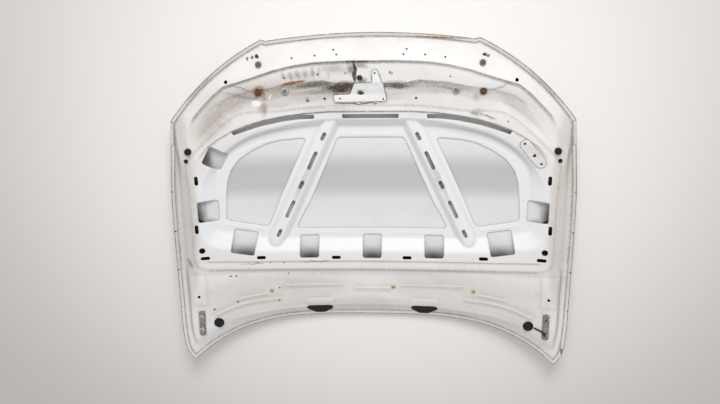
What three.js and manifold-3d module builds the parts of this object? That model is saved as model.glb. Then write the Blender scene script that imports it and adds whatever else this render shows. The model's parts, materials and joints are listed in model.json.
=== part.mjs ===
// A car bonnet, lying on its outer skin with its inner side up.
// Millimetres. +X is across the bonnet, +Y is towards its front edge, +Z is up, out of the inner side.

import * as THREE from 'three';
import { mergeVertices } from 'three/addons/utils/BufferGeometryUtils.js';
import Module from 'manifold-3d';

const wasm = await Module();
wasm.setup();

// Sheet metal and fits
const SKIN_THICKNESS = 1.0;
const PANEL_THICKNESS = 1.2;
const BRACKET_THICKNESS = 1.6;
const SEAT_GAP = 0.3;
const HOLE_CLEARANCE = 0.4;

// Form of the outer skin, whose inner face is at height 0 in its middle
const CROWN_ACROSS = 1.2e-4;
const CROWN_ALONG = 1.0e-4;
const SIDE_CREASE_X = 575;
const SIDE_TURN = 0.08;
const NOSE_START_Y = 470;
const NOSE_ROLL = 1.0e-3;

// Outline of the skin, right half
const FRONT_Y = 607;
const FRONT_SAG = 24;
const NOTCH_X = 336;
const FRONT_CORNER = [350, 588];
const CORNER_BULGE = 26;
const SHOULDER = [666, 327];
const SIDE_POINTS = [SHOULDER, [674, 238], [686, 93], [689, -60], [688, -200]];
const REAR_SIDE_POINTS = [[688, -200], [686, -300], [681, -440], [669, -508], [645, -545]];
const REAR_TIP = [645, -545];
const REAR_Y = -386;
const REAR_ARC_POWER = 3.65;

// The hem: the skin's edge folded over the inner panel's edge
const HEM_WIDTH = 12;
const HEM_EDGE_GAP = 1.0;

// Steps round half a ring: front edge, front corner, side, rear side, rear edge
const STRETCH_STEPS = [6, 8, 5, 7, 8];
const FLOOR_RING_SCALES = [0.68, 0.36];
const FLOOR_CENTRE_Y = 95;

// Lines of the inner panel's pressing, right half, as [x, y, height over the skin]
const BAND_LINE = [
  [[0, 518, 38], [91, 518, 38], [182, 514, 38], [248, 505, 38], [315, 490, 38], [384, 468, 37]],
  [[384, 468, 37], [437, 452, 36], [480, 440, 34], [516, 412, 32], [549, 380, 30], [584, 344, 27],
    [616, 298, 22], [648, 250, 14]],
  [[648, 250, 14], [651, 160, 7], [653, 60, 6], [655, -80, 6], [655, -200, 6]],
  [[655, -200, 6], [652, -315, 6], [648, -430, 6], [641, -473, 6], [632, -492, 7]],
  [[632, -492, 7], [575, -438, 15], [517, -402, 19], [426, -376, 20], [325, -361, 20], [121, -344, 20],
    [0, -344, 20]],
];
const STEP_TOP_LINE = [
  [[0, 446, 38], [121, 448, 38], [155, 456, 38], [250, 449, 38], [325, 434, 37]],
  [[325, 434, 37], [400, 425, 32], [470, 405, 25], [520, 372, 21], [560, 328, 21], [598, 278, 22],
    [626, 250, 22], [646, 240, 16]],
  [[646, 240, 16], [649, 150, 9], [651, 0, 8], [652, -200, 8]],
  [[652, -200, 8], [646, -226, 18], [641, -262, 24], [640, -400, 23], [628, -462, 20]],
  [[628, -462, 20], [560, -406, 23], [500, -374, 24], [400, -348, 24], [250, -330, 25], [100, -321, 25],
    [0, -321, 25]],
];
const STEP_FOOT_LINE = [
  [[0, 408, 26], [150, 412, 26], [283, 408, 26], [330, 396, 26]],
  [[330, 396, 26], [400, 392, 24], [460, 370, 20], [510, 336, 20], [555, 294, 21], [598, 250, 25],
    [644, 215, 25]],
  [[644, 215, 25], [647, 140, 12], [649, 60, 9], [650, -195, 9]],
  [[650, -195, 9], [643, -216, 19], [618, -222, 23], [590, -219, 23]],
  [[590, -219, 23], [432, -216, 22], [200, -217, 22], [0, -217, 22]],
];
const RIDGE_OUTER_LINE = [
  [[0, 371, 26], [138, 370, 26], [220, 364, 26], [300, 354, 26]],
  [[300, 354, 26], [380, 353, 26], [440, 346, 27], [516, 293, 29], [576, 236, 29], [612, 199, 28],
    [626, 170, 28]],
  [[626, 170, 28], [622, 100, 28], [620, 0, 28], [622, -140, 28]],
  [[622, -140, 28], [620, -168, 28], [610, -188, 28], [589, -200, 28]],
  [[589, -200, 28], [432, -205, 27], [200, -208, 27], [0, -208, 27]],
];
const RIM_OUTER_LINE = [
  [[0, 357, 28], [138, 357, 28], [220, 350, 28], [289, 340, 28]],
  [[289, 340, 28], [355, 325, 28], [418, 306, 29], [465, 286, 29], [512, 263, 30], [550, 236, 30],
    [598, 178, 30], [612, 135, 30]],
  [[612, 135, 30], [611, 75, 30], [612, 0, 30], [612, -110, 30]],
  [[612, -110, 30], [610, -145, 30], [602, -163, 30], [585, -170, 29]],
  [[585, -170, 29], [430, -175, 29], [200, -177, 29], [0, -177, 29]],
];
const WALL_TOP_LINE = [
  [[0, 327, 27], [138, 327, 27], [220, 319, 27], [280, 308, 27]],
  [[280, 308, 27], [345, 292, 27], [405, 272, 27], [455, 246, 27], [500, 214, 27], [540, 172, 27],
    [578, 110, 27]],
  [[578, 110, 27], [586, 60, 27], [588, 0, 27], [586, -70, 27]],
  [[586, -70, 27], [580, -95, 27], [562, -112, 27], [530, -124, 27]],
  [[530, -124, 27], [394, -138, 27], [253, -142, 27], [0, -142, 27]],
];
const WALL_FOOT_LINE = [
  [[0, 299, 4], [138, 301, 4], [200, 300, 4], [270, 295, 4]],
  [[270, 295, 4], [330, 286, 4], [404, 266, 4], [463, 233, 4], [505, 193, 4], [532, 150, 4], [542, 95, 4]],
  [[542, 95, 4], [543, 46, 4], [543, 0, 4], [543, -38, 4]],
  [[543, -38, 4], [541, -55, 4], [530, -64, 4], [505, -70, 4]],
  [[505, -70, 4], [389, -89, 4], [255, -96, 4], [0, -98, 4]],
];

// Diagonal ribs, right half: hat sections that rise from the cavity floor
const RIB_FIRST_SLOT = [153, 281];
const RIB_DIRECTION = new THREE.Vector2(177, -369).normalize();
const RIB_OVERRUN = 36;
const RIB_TOP_HALF_WIDTH = 14;
const RIB_FOOT_HALF_WIDTH = 31;
const RIB_HEIGHT = 22;
const RIB_STATIONS = 8;
const RIB_SLOT_WIDTH = 13;
const RIB_SLOTS = [[0, 31], [73, 70], [187, 31], [264, 69], [379, 31]];

// Openings of the inner panel
const SIDE_CUTOUT_CORNERS = [
  [223, 253], [316, 54], [322, 40], [359, -46], [373, -52], [503, -28], [509, -20],
];
const SIDE_CUTOUT_ARC = [
  [508, -12], [504, 60], [497, 110], [484, 149], [453, 188], [409, 217], [360, 240], [311, 253], [232, 259],
];
const CENTRE_CUTOUT = [[107, 261], [117, 252], [219, 23], [230, 8], [262, -54], [256, -62]];
const WINDOW_ROUNDING = 8;
const SIDE_WINDOW = { x: 566, y: 9, width: 65, depth: 73, turn: 0 };
const CORNER_WINDOW = { x: 449, y: -108, width: 82, depth: 81, turn: -0.17 };
const REAR_WINDOW = { x: 220, y: -127, width: 66, depth: 76, turn: 0 };
const CENTRE_WINDOW = { x: 2, y: -127, width: 65, depth: 80, turn: 0 };
const SHOULDER_WINDOW = { x: -530, y: 197, width: 62, depth: 66, turn: -0.5 };
const FRONT_SLOT = { y: 337, width: 188, depth: 11 };
const ARC_SLOT_OUTER = [[188, 341], [235, 341], [290, 335], [368, 320], [418, 304], [466, 286]];
const ARC_SLOT_INNER = [[460, 278], [412, 294], [364, 308], [290, 323], [235, 329], [188, 330]];
const RIM_SLOT_LENGTH = 32;
const RIM_SLOT_WIDTH = 12;
const RIM_SLOTS_ALONG = [[595, 122], [606, -51]];
const RIM_SLOTS_ACROSS = [[584, -158], [390, -162], [125, -165]];
const DRAIN_HOLE = { x: 593, y: -130, radius: 10.5 };
const FRONT_HOLE = { x: 470, y: 454, radius: 5 };
const BEAM_HOLE = { x: 151, y: 395, radius: 4 };
const HINGE_SIDE_HOLE = { x: 615, y: -301, radius: 5 };
const LATCH_HOLE = { x: -33, y: 463, radius: 9.5 };

// Striker plate, set off the centreline as the latch is
const STRIKER_OUTLINE = [
  [8, 482], [13, 487], [24, 486], [36, 448], [42, 444], [54, 386],
  [-50, 384], [-118, 384], [-120, 406], [-66, 408], [-50, 445], [8, 446],
];
const STRIKER_SCREW_HOLES = [[-100, 394], [44, 392], [16, 478]];
const STRIKER_SCREW_RADIUS = 3.5;
const STRIKER_SLOT = { x: -31, y: 415, length: 29, width: 17 };

// Hinge pads and their fasteners
const HINGE_PAD = { x: 609, y: -401, width: 22, depth: 88, thickness: 2 };
const HINGE_BOLT_OFFSETS = [26, -22];
const HINGE_BOLT_RADIUS = 4;
const HINGE_BOLT_FLANGE = { radius: 8.5, height: 1.6 };
const HINGE_BOLT_HEX = { radius: 6.2, height: 6 };
const HINGE_BOLT_LENGTH = 13;
const HINGE_PLATE = { x: 606, y: -398, width: 44, depth: 110, rounding: 6 };
const PAD_BLOCK_DEPTH = 20;
const PAD_SAMPLE_STEP = 0.2;

// Prop rod bracket on the right rim
const PROP_BRACKET = { x: 536, y: 212, length: 112, width: 34, turn: -0.87 };
const PROP_SOCKET = { length: 18, width: 11, offset: 4 };
const PROP_SCREW_OFFSET = 44;
const PROP_SCREW_RADIUS = 4;

// Stops, plugs, bolts and clips: place, head radius and height, stem radius
const FRONT_STOP = { x: 361, y: 509, head: 10.5, height: 9, stem: 6 };
const SIDE_STOP = { x: 613, y: 224, head: 11.5, height: 11, stem: 6 };
const SIDE_PLUG = { x: 622, y: 192, head: 7, height: 3, stem: 4 };
const BEAM_BOLT = { x: 367, y: 418, head: 11, height: 5, stem: 4 };
const BEAM_PLUG = { x: 281, y: 422, head: 12, height: 2.5, stem: 8 };
const REAR_PLUG = { x: 551, y: -402, head: 18, height: 3, stem: 14 };
const CLIP = { head: 9.5, height: 3.5, stem: 3.5 };
const CLIP_PLACES = { left: [-358, -287], centre: [77, -275], right: [359, -284] };
const STEM_LENGTH = 9;
const STEM_SIDES = 8;
const SMALL_SIDES = 10;
const ROUND_SIDES = 14;

// Washer jet caps in the rear zone
const WASHER_CAP = { x: 188, y: -360, length: 84, width: 22, thickness: 1.4 };
const WASHER_CAP_LIP = 4;
const WASHER_BODY_DEPTH = 2.4;

// Hidden stiffeners and mastic
const LATCH_PLATE = { x: -33, y: 430, width: 250, depth: 130, rounding: 12 };
const LATCH_HOLE_MARGIN = 3;
const MASTIC_HEIGHT = 2;
const MASTIC_WIDTH = 9;
const MASTIC_STRIPS = {
  front: { x: 60, y: 279, length: 90, turn: 0 },
  side: { x: 524, y: 70, length: 90, turn: Math.PI / 2 },
  rear: { x: 160, y: -76, length: 90, turn: 0 },
};

// Pads in the hem at the shoulders
const HEM_PAD = { x: 665, y: 283, width: 13, depth: 84, thickness: 1.2, turn: 0.09 };

// Short black lead from the right rear plug to the hinge pad
const LEAD_RADIUS = 2.2;
const LEAD_SIDES = 8;
const LEAD_STEPS = 16;
const LEAD_POINTS = [
  [570.4, -405.4, 2.5], [576, -408, 3.2], [583, -411, 4], [590, -413, 3.2], [595.4, -416, 2.5],
];

// Height range that every cutting prism spans
const CUT_BOTTOM = -40;
const CUT_TOP = 220;

// Facets flatter than this are merged
const FACET_TOLERANCE = 0.04;

// Colours from the photograph
const PAINT = { color: 0xe9e8e6, roughness: 0.35, metalness: 0.05 };
const BRIGHT_PAINT = { color: 0xf7f7f6, roughness: 0.4, metalness: 0.05 };
const BARE_METAL = { color: 0x8c8a86, roughness: 0.55, metalness: 0.8 };
const RUSTY_METAL = { color: 0x6b4a30, roughness: 0.85, metalness: 0.4 };
const BLACK_RUBBER = { color: 0x1c1c1d, roughness: 0.7, metalness: 0 };
const GREY_RUBBER = { color: 0x5c5d5f, roughness: 0.7, metalness: 0 };
const GREY_PLASTIC = { color: 0xa3a7ac, roughness: 0.5, metalness: 0 };
const YELLOW_PLASTIC = { color: 0xd9cf8a, roughness: 0.5, metalness: 0 };
const MASTIC = { color: 0xcfc9bd, roughness: 0.9, metalness: 0 };

// Surfaces

function skinHeight(x, y) {
  const crown = CROWN_ACROSS * x * x + CROWN_ALONG * y * y;
  const side = SIDE_TURN * Math.max(0, Math.abs(x) - SIDE_CREASE_X);
  const nose = NOSE_ROLL * Math.max(0, y - NOSE_START_Y) ** 2;
  return crown + side + nose;
}

function pointOver(x, y, height) {
  return new THREE.Vector3(x, y, skinHeight(x, y) + height);
}

function splineStretch(points, steps) {
  const knots = points.map(([x, y, height = 0]) => new THREE.Vector3(x, y, height));
  return new THREE.CatmullRomCurve3(knots, false, 'centripetal').getSpacedPoints(steps);
}

// Joins five stretches into a closed ring: down the right half, then up its mirror image
function closeRing(stretches) {
  const half = stretches.flatMap((stretch, index) => (index === 0 ? stretch : stretch.slice(1)));
  const mirrored = half.slice(1, -1).reverse().map((point) => new THREE.Vector3(-point.x, point.y, point.z));
  return [...half, ...mirrored];
}

function pressedRing(lines) {
  return closeRing(lines.map((points, index) => splineStretch(points, STRETCH_STEPS[index])));
}

function outlineRing() {
  const front = [];
  const arcSteps = STRETCH_STEPS[0] - 1;
  for (let step = 0; step <= arcSteps; step += 1) {
    const share = step / arcSteps;
    front.push(new THREE.Vector3(NOTCH_X * share, FRONT_Y - FRONT_SAG * share * share, 0));
  }
  front.push(new THREE.Vector3(...FRONT_CORNER, 0));

  const start = new THREE.Vector2(...FRONT_CORNER);
  const end = new THREE.Vector2(...SHOULDER);
  const outward = new THREE.Vector2(start.y - end.y, end.x - start.x).normalize();
  const control = start.clone().add(end).multiplyScalar(0.5).addScaledVector(outward, 2 * CORNER_BULGE);
  const corner = new THREE.QuadraticBezierCurve(start, control, end)
    .getSpacedPoints(STRETCH_STEPS[1])
    .map((point) => new THREE.Vector3(point.x, point.y, 0));

  const rear = [];
  for (let step = 0; step <= STRETCH_STEPS[4]; step += 1) {
    const share = 1 - step / STRETCH_STEPS[4];
    const y = REAR_Y + (REAR_TIP[1] - REAR_Y) * share ** REAR_ARC_POWER;
    rear.push(new THREE.Vector3(REAR_TIP[0] * share, y, 0));
  }
  return closeRing([
    front,
    corner,
    splineStretch(SIDE_POINTS, STRETCH_STEPS[2]),
    splineStretch(REAR_SIDE_POINTS, STRETCH_STEPS[3]),
    rear,
  ]);
}

// Moves each point of a ring inwards by the same distance from both edges that meet there
function insetRing(ring, distance, height = 0) {
  return ring.map((point, index) => {
    const before = ring[(index + ring.length - 1) % ring.length];
    const after = ring[(index + 1) % ring.length];
    const normalIn = (from, to) => new THREE.Vector2(to.y - from.y, from.x - to.x).normalize();
    const first = normalIn(before, point);
    const second = normalIn(point, after);
    const middle = first.clone().add(second).normalize();
    const reach = distance / middle.dot(first);
    return new THREE.Vector3(point.x + middle.x * reach, point.y + middle.y * reach, height);
  });
}

function scaledRing(ring, scale) {
  return ring.map((point) => new THREE.Vector3(
    point.x * scale,
    FLOOR_CENTRE_Y + (point.y - FLOOR_CENTRE_Y) * scale,
    point.z,
  ));
}

// Solids

function solidOf(geometry) {
  const bare = geometry.clone();
  bare.deleteAttribute('normal');
  bare.deleteAttribute('uv');
  const merged = mergeVertices(bare, 1e-4);
  return new wasm.Manifold(new wasm.Mesh({
    numProp: 3,
    vertProperties: Float32Array.from(merged.attributes.position.array),
    triVerts: Uint32Array.from(merged.index.array),
  }));
}

// Splits a four-cornered patch into two facets along its diagonal that is shorter in plan
function splitPatch(points, [a, b, c, d]) {
  const span = (from, to) => Math.hypot(points[from].x - points[to].x, points[from].y - points[to].y);
  return span(a, c) < span(b, d) ? [a, b, c, a, c, d] : [a, b, d, b, c, d];
}

// A closed skin over rings listed from the underside's middle, round the edge, to the upper side's middle
function loftSolid(rings, lowMiddle, highMiddle) {
  const size = rings[0].length;
  const points = [lowMiddle, ...rings.flat(), highMiddle];
  const faces = [];
  const vertex = (ring, step) => 1 + ring * size + (step % size);
  for (let step = 0; step < size; step += 1) {
    faces.push(0, vertex(0, step), vertex(0, step + 1));
    for (let ring = 0; ring < rings.length - 1; ring += 1) {
      const near = [vertex(ring, step), vertex(ring + 1, step)];
      const far = [vertex(ring + 1, step + 1), vertex(ring, step + 1)];
      faces.push(...splitPatch(points, [...near, ...far]));
    }
    const last = rings.length - 1;
    faces.push(vertex(last, step), points.length - 1, vertex(last, step + 1));
  }
  const geometry = new THREE.BufferGeometry().setFromPoints(points);
  geometry.setIndex(faces);
  return solidOf(geometry);
}

function lifted(ring, offset) {
  return ring.map((point) => pointOver(point.x, point.y, point.z + offset));
}

// A layer that follows a set of rings, listed from the edge inwards, between two offsets from them
function layer(rings, low, high) {
  const middleHeight = rings[rings.length - 1][0].z;
  const under = [...rings].reverse().map((ring) => lifted(ring, low));
  const over = rings.map((ring) => lifted(ring, high));
  return loftSolid(
    [...under, ...over],
    pointOver(0, FLOOR_CENTRE_Y, middleHeight + low),
    pointOver(0, FLOOR_CENTRE_Y, middleHeight + high),
  );
}

function prism(shape, { x = 0, y = 0, turn = 0 } = {}, segments = 2) {
  const geometry = new THREE.ExtrudeGeometry(shape, {
    depth: CUT_TOP - CUT_BOTTOM,
    bevelEnabled: false,
    curveSegments: segments,
    steps: 1,
  });
  geometry.rotateZ(turn);
  geometry.translate(x, y, CUT_BOTTOM);
  return solidOf(geometry);
}

function polygonShape(points) {
  return new THREE.Shape(points.map(([x, y]) => new THREE.Vector2(x, y)));
}

function roundedShape(width, depth, radius) {
  const shape = new THREE.Shape();
  const x = width / 2 - radius;
  const y = depth / 2 - radius;
  shape.absarc(x, y, radius, 0, Math.PI / 2);
  shape.absarc(-x, y, radius, Math.PI / 2, Math.PI);
  shape.absarc(-x, -y, radius, Math.PI, Math.PI * 1.5);
  shape.absarc(x, -y, radius, Math.PI * 1.5, Math.PI * 2);
  return shape;
}

function slotShape(length, width) {
  const shape = new THREE.Shape();
  const reach = (length - width) / 2;
  shape.absarc(reach, 0, width / 2, -Math.PI / 2, Math.PI / 2);
  shape.absarc(-reach, 0, width / 2, Math.PI / 2, Math.PI * 1.5);
  return shape;
}

function roundShape(radius, sides = SMALL_SIDES) {
  const points = [];
  for (let side = 0; side < sides; side += 1) {
    const angle = (side / sides) * Math.PI * 2;
    points.push([radius * Math.cos(angle), radius * Math.sin(angle)]);
  }
  return polygonShape(points);
}

function mirrored(place) {
  return { ...place, x: -place.x, turn: -(place.turn ?? 0) };
}

function union(solids) {
  return solids.reduce((whole, solid) => whole.add(solid));
}

function mirroredShape(points) {
  return polygonShape(points.map(([x, y]) => [-x, y]).reverse());
}

// Rings that every layer uses

const outline = outlineRing();
const hemInner = insetRing(outline, HEM_WIDTH);
const skinRings = [
  hemInner,
  pressedRing(BAND_LINE).map((point) => new THREE.Vector3(point.x, point.y, 0)),
  pressedRing(STEP_FOOT_LINE).map((point) => new THREE.Vector3(point.x, point.y, 0)),
  pressedRing(WALL_FOOT_LINE).map((point) => new THREE.Vector3(point.x, point.y, 0)),
];
const skinFloor = FLOOR_RING_SCALES.map((scale) => scaledRing(skinRings[skinRings.length - 1], scale));
const panelTopOffset = SEAT_GAP + PANEL_THICKNESS;
const lipUnderside = panelTopOffset + SEAT_GAP;
const lipTop = lipUnderside + SKIN_THICKNESS;
const panelFoot = pressedRing(WALL_FOOT_LINE);
const panelRings = [
  insetRing(outline, SKIN_THICKNESS + HEM_EDGE_GAP, panelTopOffset),
  insetRing(outline, HEM_WIDTH + HEM_EDGE_GAP, panelTopOffset),
  pressedRing(BAND_LINE),
  pressedRing(STEP_TOP_LINE),
  pressedRing(STEP_FOOT_LINE),
  pressedRing(RIDGE_OUTER_LINE),
  pressedRing(RIM_OUTER_LINE),
  pressedRing(WALL_TOP_LINE),
  panelFoot,
  ...FLOOR_RING_SCALES.map((scale) => scaledRing(panelFoot, scale)),
];
const underPanel = layer(panelRings, CUT_BOTTOM - 60, SEAT_GAP);

// A plate that lies on the inner panel (or under it, with a negative offset) and follows its form
function drapedPlate(cutter, low, high) {
  return layer(panelRings, low, high).intersect(cutter);
}

// Outer skin

function outerSkin() {
  const innerRings = [...skinRings, ...skinFloor];
  const underside = [outline, ...innerRings].reverse().map((ring) => lifted(ring, -SKIN_THICKNESS));
  const foldInside = insetRing(outline, SKIN_THICKNESS);
  const hem = [
    lifted(outline, lipTop),
    lifted(hemInner, lipTop),
    lifted(hemInner, lipUnderside),
    lifted(foldInside, lipUnderside),
    lifted(foldInside, 0),
  ];
  const upper = innerRings.map((ring) => lifted(ring, 0));
  return loftSolid(
    [...underside, ...hem, ...upper],
    pointOver(0, FLOOR_CENTRE_Y, -SKIN_THICKNESS),
    pointOver(0, FLOOR_CENTRE_Y, 0),
  );
}

// Inner panel

function ribLine(distance) {
  return new THREE.Vector2(...RIB_FIRST_SLOT).addScaledVector(RIB_DIRECTION, distance);
}

// A rib as a solid hat section, made smaller by the given wall for its hollow
function ribSolid(side, wall) {
  const [lastStart, lastLength] = RIB_SLOTS[RIB_SLOTS.length - 1];
  const first = -RIB_OVERRUN + wall;
  const last = lastStart + lastLength + RIB_OVERRUN - wall;
  const across = new THREE.Vector2(-RIB_DIRECTION.y, RIB_DIRECTION.x);
  const foot = panelFoot[0].z - (wall > 0 ? PANEL_THICKNESS + SEAT_GAP : PANEL_THICKNESS / 2);
  const section = [
    [-(RIB_FOOT_HALF_WIDTH - wall), foot],
    [RIB_FOOT_HALF_WIDTH - wall, foot],
    [RIB_TOP_HALF_WIDTH - wall / 2, RIB_HEIGHT - wall],
    [-(RIB_TOP_HALF_WIDTH - wall / 2), RIB_HEIGHT - wall],
  ];
  const points = [];
  for (let station = 0; station <= RIB_STATIONS; station += 1) {
    const centre = ribLine(first + ((last - first) * station) / RIB_STATIONS);
    for (const [reach, height] of section) {
      const x = (centre.x + across.x * reach) * side;
      points.push(pointOver(x, centre.y + across.y * reach, height));
    }
  }
  const faces = [];
  const quad = (a, b, c, d) => faces.push(a, b, c, a, c, d);
  quad(3, 2, 1, 0);
  for (let station = 0; station < RIB_STATIONS; station += 1) {
    for (let corner = 0; corner < 4; corner += 1) {
      const here = station * 4 + corner;
      const beside = station * 4 + ((corner + 1) % 4);
      quad(here, beside, beside + 4, here + 4);
    }
  }
  const end = RIB_STATIONS * 4;
  quad(end, end + 1, end + 2, end + 3);
  if (side < 0) {
    faces.reverse();
  }
  const geometry = new THREE.BufferGeometry().setFromPoints(points);
  geometry.setIndex(faces);
  return solidOf(geometry);
}

function ribSlotCutters() {
  const turn = Math.atan2(RIB_DIRECTION.y, RIB_DIRECTION.x);
  return RIB_SLOTS.flatMap(([start, length]) => {
    const centre = ribLine(start + length / 2);
    const place = { x: centre.x, y: centre.y, turn };
    const shape = slotShape(length, RIB_SLOT_WIDTH);
    const other = { x: -centre.x, y: centre.y, turn: Math.PI - turn };
    return [prism(shape, place), prism(shape, other)];
  });
}

function sideCutoutShape(side) {
  return polygonShape([...SIDE_CUTOUT_CORNERS, ...SIDE_CUTOUT_ARC].map(([x, y]) => [x * side, y]));
}

function centreCutoutShape() {
  const left = CENTRE_CUTOUT.map(([x, y]) => [-x, y]).reverse();
  return polygonShape([...CENTRE_CUTOUT, ...left]);
}

function windowCutters() {
  const shapeOf = (window) => roundedShape(window.width, window.depth, WINDOW_ROUNDING);
  const pairs = [SIDE_WINDOW, CORNER_WINDOW, REAR_WINDOW];
  return [
    ...pairs.map((window) => prism(shapeOf(window), { ...window, turn: -window.turn })),
    ...pairs.map((window) => prism(shapeOf(window), { ...window, x: -window.x })),
    prism(shapeOf(CENTRE_WINDOW), CENTRE_WINDOW),
    prism(shapeOf(SHOULDER_WINDOW), SHOULDER_WINDOW),
  ];
}

function rimSlotCutters() {
  const shape = slotShape(RIM_SLOT_LENGTH, RIM_SLOT_WIDTH);
  const cutters = [];
  for (const side of [1, -1]) {
    for (const [x, y] of RIM_SLOTS_ALONG) {
      cutters.push(prism(shape, { x: x * side, y, turn: Math.PI / 2 }));
    }
    for (const [x, y] of RIM_SLOTS_ACROSS) {
      cutters.push(prism(shape, { x: x * side, y }));
    }
  }
  return cutters;
}

function frontSlotCutters() {
  const arc = [...ARC_SLOT_OUTER, ...ARC_SLOT_INNER];
  return [
    prism(roundedShape(FRONT_SLOT.width, FRONT_SLOT.depth, 3), { y: FRONT_SLOT.y }),
    prism(polygonShape(arc)),
    prism(mirroredShape(arc)),
  ];
}

function plainHoleCutters() {
  const cutters = [prism(roundShape(LATCH_HOLE.radius, ROUND_SIDES), LATCH_HOLE)];
  for (const hole of [DRAIN_HOLE, FRONT_HOLE, BEAM_HOLE, HINGE_SIDE_HOLE]) {
    cutters.push(prism(roundShape(hole.radius), hole), prism(roundShape(hole.radius), mirrored(hole)));
  }
  return cutters;
}

function stemHoleCutters() {
  const cutters = [];
  for (const fitting of [FRONT_STOP, SIDE_STOP, SIDE_PLUG, BEAM_BOLT, BEAM_PLUG, REAR_PLUG]) {
    const shape = roundShape(fitting.stem + HOLE_CLEARANCE, STEM_SIDES);
    cutters.push(prism(shape, { x: fitting.x, y: fitting.y }), prism(shape, { x: -fitting.x, y: fitting.y }));
  }
  for (const [x, y] of Object.values(CLIP_PLACES)) {
    cutters.push(prism(roundShape(CLIP.stem + HOLE_CLEARANCE, STEM_SIDES), { x, y }));
  }
  return cutters;
}

// An upright solid with a regular outline that stands on height 0
function pillar(radius, height, sides) {
  const cylinder = new THREE.CylinderGeometry(radius, radius, height, sides);
  cylinder.rotateX(Math.PI / 2).translate(0, 0, height / 2);
  return solidOf(cylinder);
}

// Puts a solid built round the origin on a hinge pad's top, which tilts with the panel
function onHingePad(solid, side, along = 0) {
  const { top, tilt } = hingeSeats[side];
  return solid
    .translate([0, along, 0])
    .rotate([THREE.MathUtils.radToDeg(tilt), 0, 0])
    .translate([HINGE_PAD.x * side, HINGE_PAD.y, top]);
}

function hingeHoleCutters(side) {
  const reach = CUT_TOP / 4;
  const hole = pillar(HINGE_BOLT_RADIUS + HOLE_CLEARANCE, 2 * reach, SMALL_SIDES);
  return HINGE_BOLT_OFFSETS.map((along) => onHingePad(hole.translate([0, 0, -reach]), side, along));
}

function washerCutters() {
  const { length, width } = WASHER_CAP;
  const shape = slotShape(length - 2 * WASHER_CAP_LIP, width - 2 * WASHER_CAP_LIP);
  return [prism(shape, WASHER_CAP), prism(shape, mirrored(WASHER_CAP))];
}

function innerPanel() {
  const cutters = [
    prism(sideCutoutShape(1)),
    prism(sideCutoutShape(-1)),
    prism(centreCutoutShape()),
    ...windowCutters(),
    ...rimSlotCutters(),
    ...frontSlotCutters(),
    ...plainHoleCutters(),
    ...stemHoleCutters(),
    ...hingeHoleCutters(1),
    ...hingeHoleCutters(-1),
    ...washerCutters(),
    ...ribSlotCutters(),
  ];
  return layer(panelRings, -PANEL_THICKNESS, 0)
    .add(ribSolid(1, 0))
    .add(ribSolid(-1, 0))
    .subtract(ribSolid(1, PANEL_THICKNESS))
    .subtract(ribSolid(-1, PANEL_THICKNESS))
    .subtract(union(cutters));
}

// Fittings

// A turned piece on the panel: its head's foot follows the panel, its stem goes through the panel's hole
function turnedFitting(profile, { x, y, stem }, sides) {
  const ground = panelHeight(x, y);
  const points = profile.map(([radius, height]) => new THREE.Vector2(radius, height));
  const head = new THREE.LatheGeometry([new THREE.Vector2(0, -STEM_LENGTH / 2), ...points], sides);
  head.rotateX(Math.PI / 2);
  head.translate(x, y, ground);
  const shank = new THREE.CylinderGeometry(stem, stem, STEM_LENGTH, STEM_SIDES);
  shank.rotateX(Math.PI / 2);
  shank.translate(x, y, ground + 1 - STEM_LENGTH / 2);
  return solidOf(head).subtract(underPanel).add(solidOf(shank));
}

// Height of the panel's upper face at a place, found on the faceted layer itself
function panelHeight(x, y) {
  const probe = new THREE.Vector3();
  let height = -Infinity;
  const triangle = new THREE.Triangle();
  for (const [a, b, c] of panelFacets) {
    triangle.set(a, b, c);
    probe.set(x, y, 0);
    const inPlan = THREE.Triangle.getBarycoord(probe, flat(a), flat(b), flat(c), new THREE.Vector3());
    if (inPlan && Math.min(inPlan.x, inPlan.y, inPlan.z) >= -1e-6) {
      height = Math.max(height, a.z * inPlan.x + b.z * inPlan.y + c.z * inPlan.z);
    }
  }
  return height;
}

function flat(point) {
  return new THREE.Vector3(point.x, point.y, 0);
}

function facetsBetween(rings) {
  const facets = [];
  for (let ring = 0; ring < rings.length - 1; ring += 1) {
    const outer = lifted(rings[ring], 0);
    const inner = lifted(rings[ring + 1], 0);
    for (let step = 0; step < outer.length; step += 1) {
      const next = (step + 1) % outer.length;
      const corners = [outer[step], inner[step], inner[next], outer[next]];
      const order = splitPatch(corners, [0, 1, 2, 3]).map((corner) => corners[corner]);
      facets.push(order.slice(0, 3), order.slice(3));
    }
  }
  return facets;
}

function stopProfile({ head, height }) {
  return [[head, -4], [head, height * 0.55], [head * 0.8, height * 0.8], [head * 0.8, height], [0, height]];
}

function plugProfile({ head, height }) {
  return [[head, -4], [head, height * 0.5], [head * 0.85, height], [0, height]];
}

function boltProfile({ head, height }) {
  return [[head, -3], [head, 1.6], [head * 0.62, 1.6], [head * 0.62, height], [0, height]];
}

function strikerPlate() {
  const holes = STRIKER_SCREW_HOLES.map(([x, y]) => prism(roundShape(STRIKER_SCREW_RADIUS), { x, y }));
  const slot = prism(slotShape(STRIKER_SLOT.length, STRIKER_SLOT.width), STRIKER_SLOT);
  const cutter = prism(polygonShape(STRIKER_OUTLINE)).subtract(union([...holes, slot]));
  return drapedPlate(cutter, SEAT_GAP, SEAT_GAP + BRACKET_THICKNESS);
}

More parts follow.
